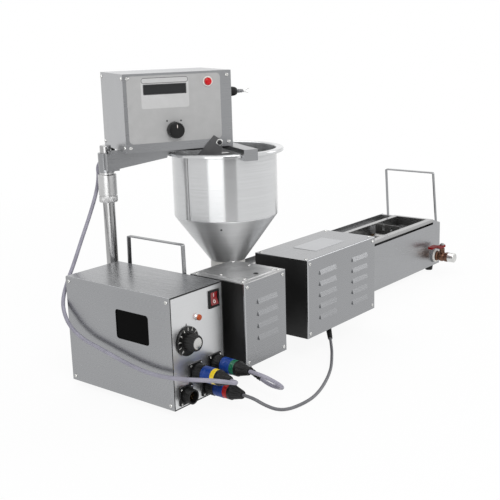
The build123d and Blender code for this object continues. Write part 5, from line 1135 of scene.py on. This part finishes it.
# %% [markdown]
# ## Drain valve
# The valve is a brass ball valve that years of hot oil have browned. It has six flats at each end for the
# spanner, a round belly for the ball and a packing nut under the lever. A white washer seals it against the
# casing's flange.

# %% Valve body and washer
VALVE = facing(spot(968.0, 77.7, 25.0), FRONT)
NECK = facing(spot(968.0, 60.45, 25.0), UP, -FRONT)
FLAT_R, FLAT_BEVEL, BELLY_R, BELLY_AT, VALVE_BORE, STEM_R = 11.4, 0.8, 11.5, 17.25, 7.0, 3.2
BALL = [(BELLY_R * math.sin(a), BELLY_AT - BELLY_R * math.cos(a))
        for a in (math.radians(45 + 90 * i / 12) for i in range(13))]
BELLY = ((VALVE_BORE, 8.0), (8.6, 8.0), *BALL, (8.6, 26.5), (VALVE_BORE, 26.5), (VALVE_BORE, 8.0))
SPIGOT = ((VALVE_BORE, 34.0), (9.6, 34.0), (9.6, 46.0), (VALVE_BORE, 46.0), (VALVE_BORE, 34.0))
NECK_FORM = ((STEM_R, 9.0), (6.0, 9.0), (6.0, 14.0), (STEM_R, 14.0), (STEM_R, 9.0))
PACKING_NUT = ((STEM_R, 14.0), (5.2, 14.0), (6.0, 14.6), (6.0, 19.4), (5.2, 20.0), (STEM_R, 20.0),
               (STEM_R, 14.0))
DRAIN_WASHER = ((11.6, 0), (14.6, 0), (15.0, 0.5), (15.0, 3.3), (14.4, 4.0), (11.6, 4.0), (11.6, 0))

with piece("drain_valve_body", brass_brown, "machine", "valve_brass", "valve_body", smooth_under=28) as bm:
    for start, stop in ((0.0, 9.0), (26.0, 34.5)):
        turned(bm, ((VALVE_BORE, start), (FLAT_R - FLAT_BEVEL, start), (FLAT_R, start + FLAT_BEVEL),
                    (FLAT_R, stop - FLAT_BEVEL), (FLAT_R - FLAT_BEVEL, stop), (VALVE_BORE, stop),
                    (VALVE_BORE, start)), VALVE, 6)
    turned(bm, BELLY, VALVE)
    turned(bm, SPIGOT, VALVE, 40)
    turned(bm, NECK_FORM, NECK, 32)
    turned(bm, PACKING_NUT, NECK, 6)
with piece("drain_washer", acetal_white, "machine", "white_plastic") as bm:
    turned(bm, DRAIN_WASHER, VALVE, 56)
print("drain: valve body and washer")

# %% [markdown]
# ## Last small things
# A rivet closes a hole in the hopper's cone, and the blind gland's two wires get their tinned ends.

# %% Rivet and wire ends
RIVET_TURN, RIVET_Z, RIVET_AT_R, CONE_FALL = math.radians(214), 225.0, 80.6, math.atan2(59.5, 81.9)
RIVET = ((0, 0), (1.9, 0), (1.8, 0.4), (1.2, 0.8), (0, 0.9))
WIRE_R, WIRE_L, WIRE_ROOT = 0.7, 13.0, on_arm(225.5, -56.5, 450.0)
WIRE = ((0, 0), (WIRE_R, 0), (WIRE_R, WIRE_L - 0.4), (WIRE_R * 0.6, WIRE_L), (0, WIRE_L))

rivet_side = Vector((math.cos(RIVET_TURN), math.sin(RIVET_TURN), 0.0))
rivet_out = rivet_side * math.cos(CONE_FALL) - UP * math.sin(CONE_FALL)
with piece("hopper_rivet", dark_steel, "dosing_arm", "dark_steel") as bm:
    turned(bm, RIVET, facing(HOPPER_AXIS + (rivet_side * RIVET_AT_R + UP * RIVET_Z) * MM, rivet_out), 24)
with piece("side_gland_wire_ends", screw_zinc, "dosing_arm", "plated_screw") as bm:
    for rise, sway in ((0.35, -0.25), (-0.3, 0.2)):
        turned(bm, WIRE, facing(WIRE_ROOT, ALONG + UP * rise + ACROSS * sway), 10)
print("rivet and two wire ends")

# %% [markdown]
# The machine's own size stays what the drawing says.

# %% Finish
bpy.context.view_layer.update()
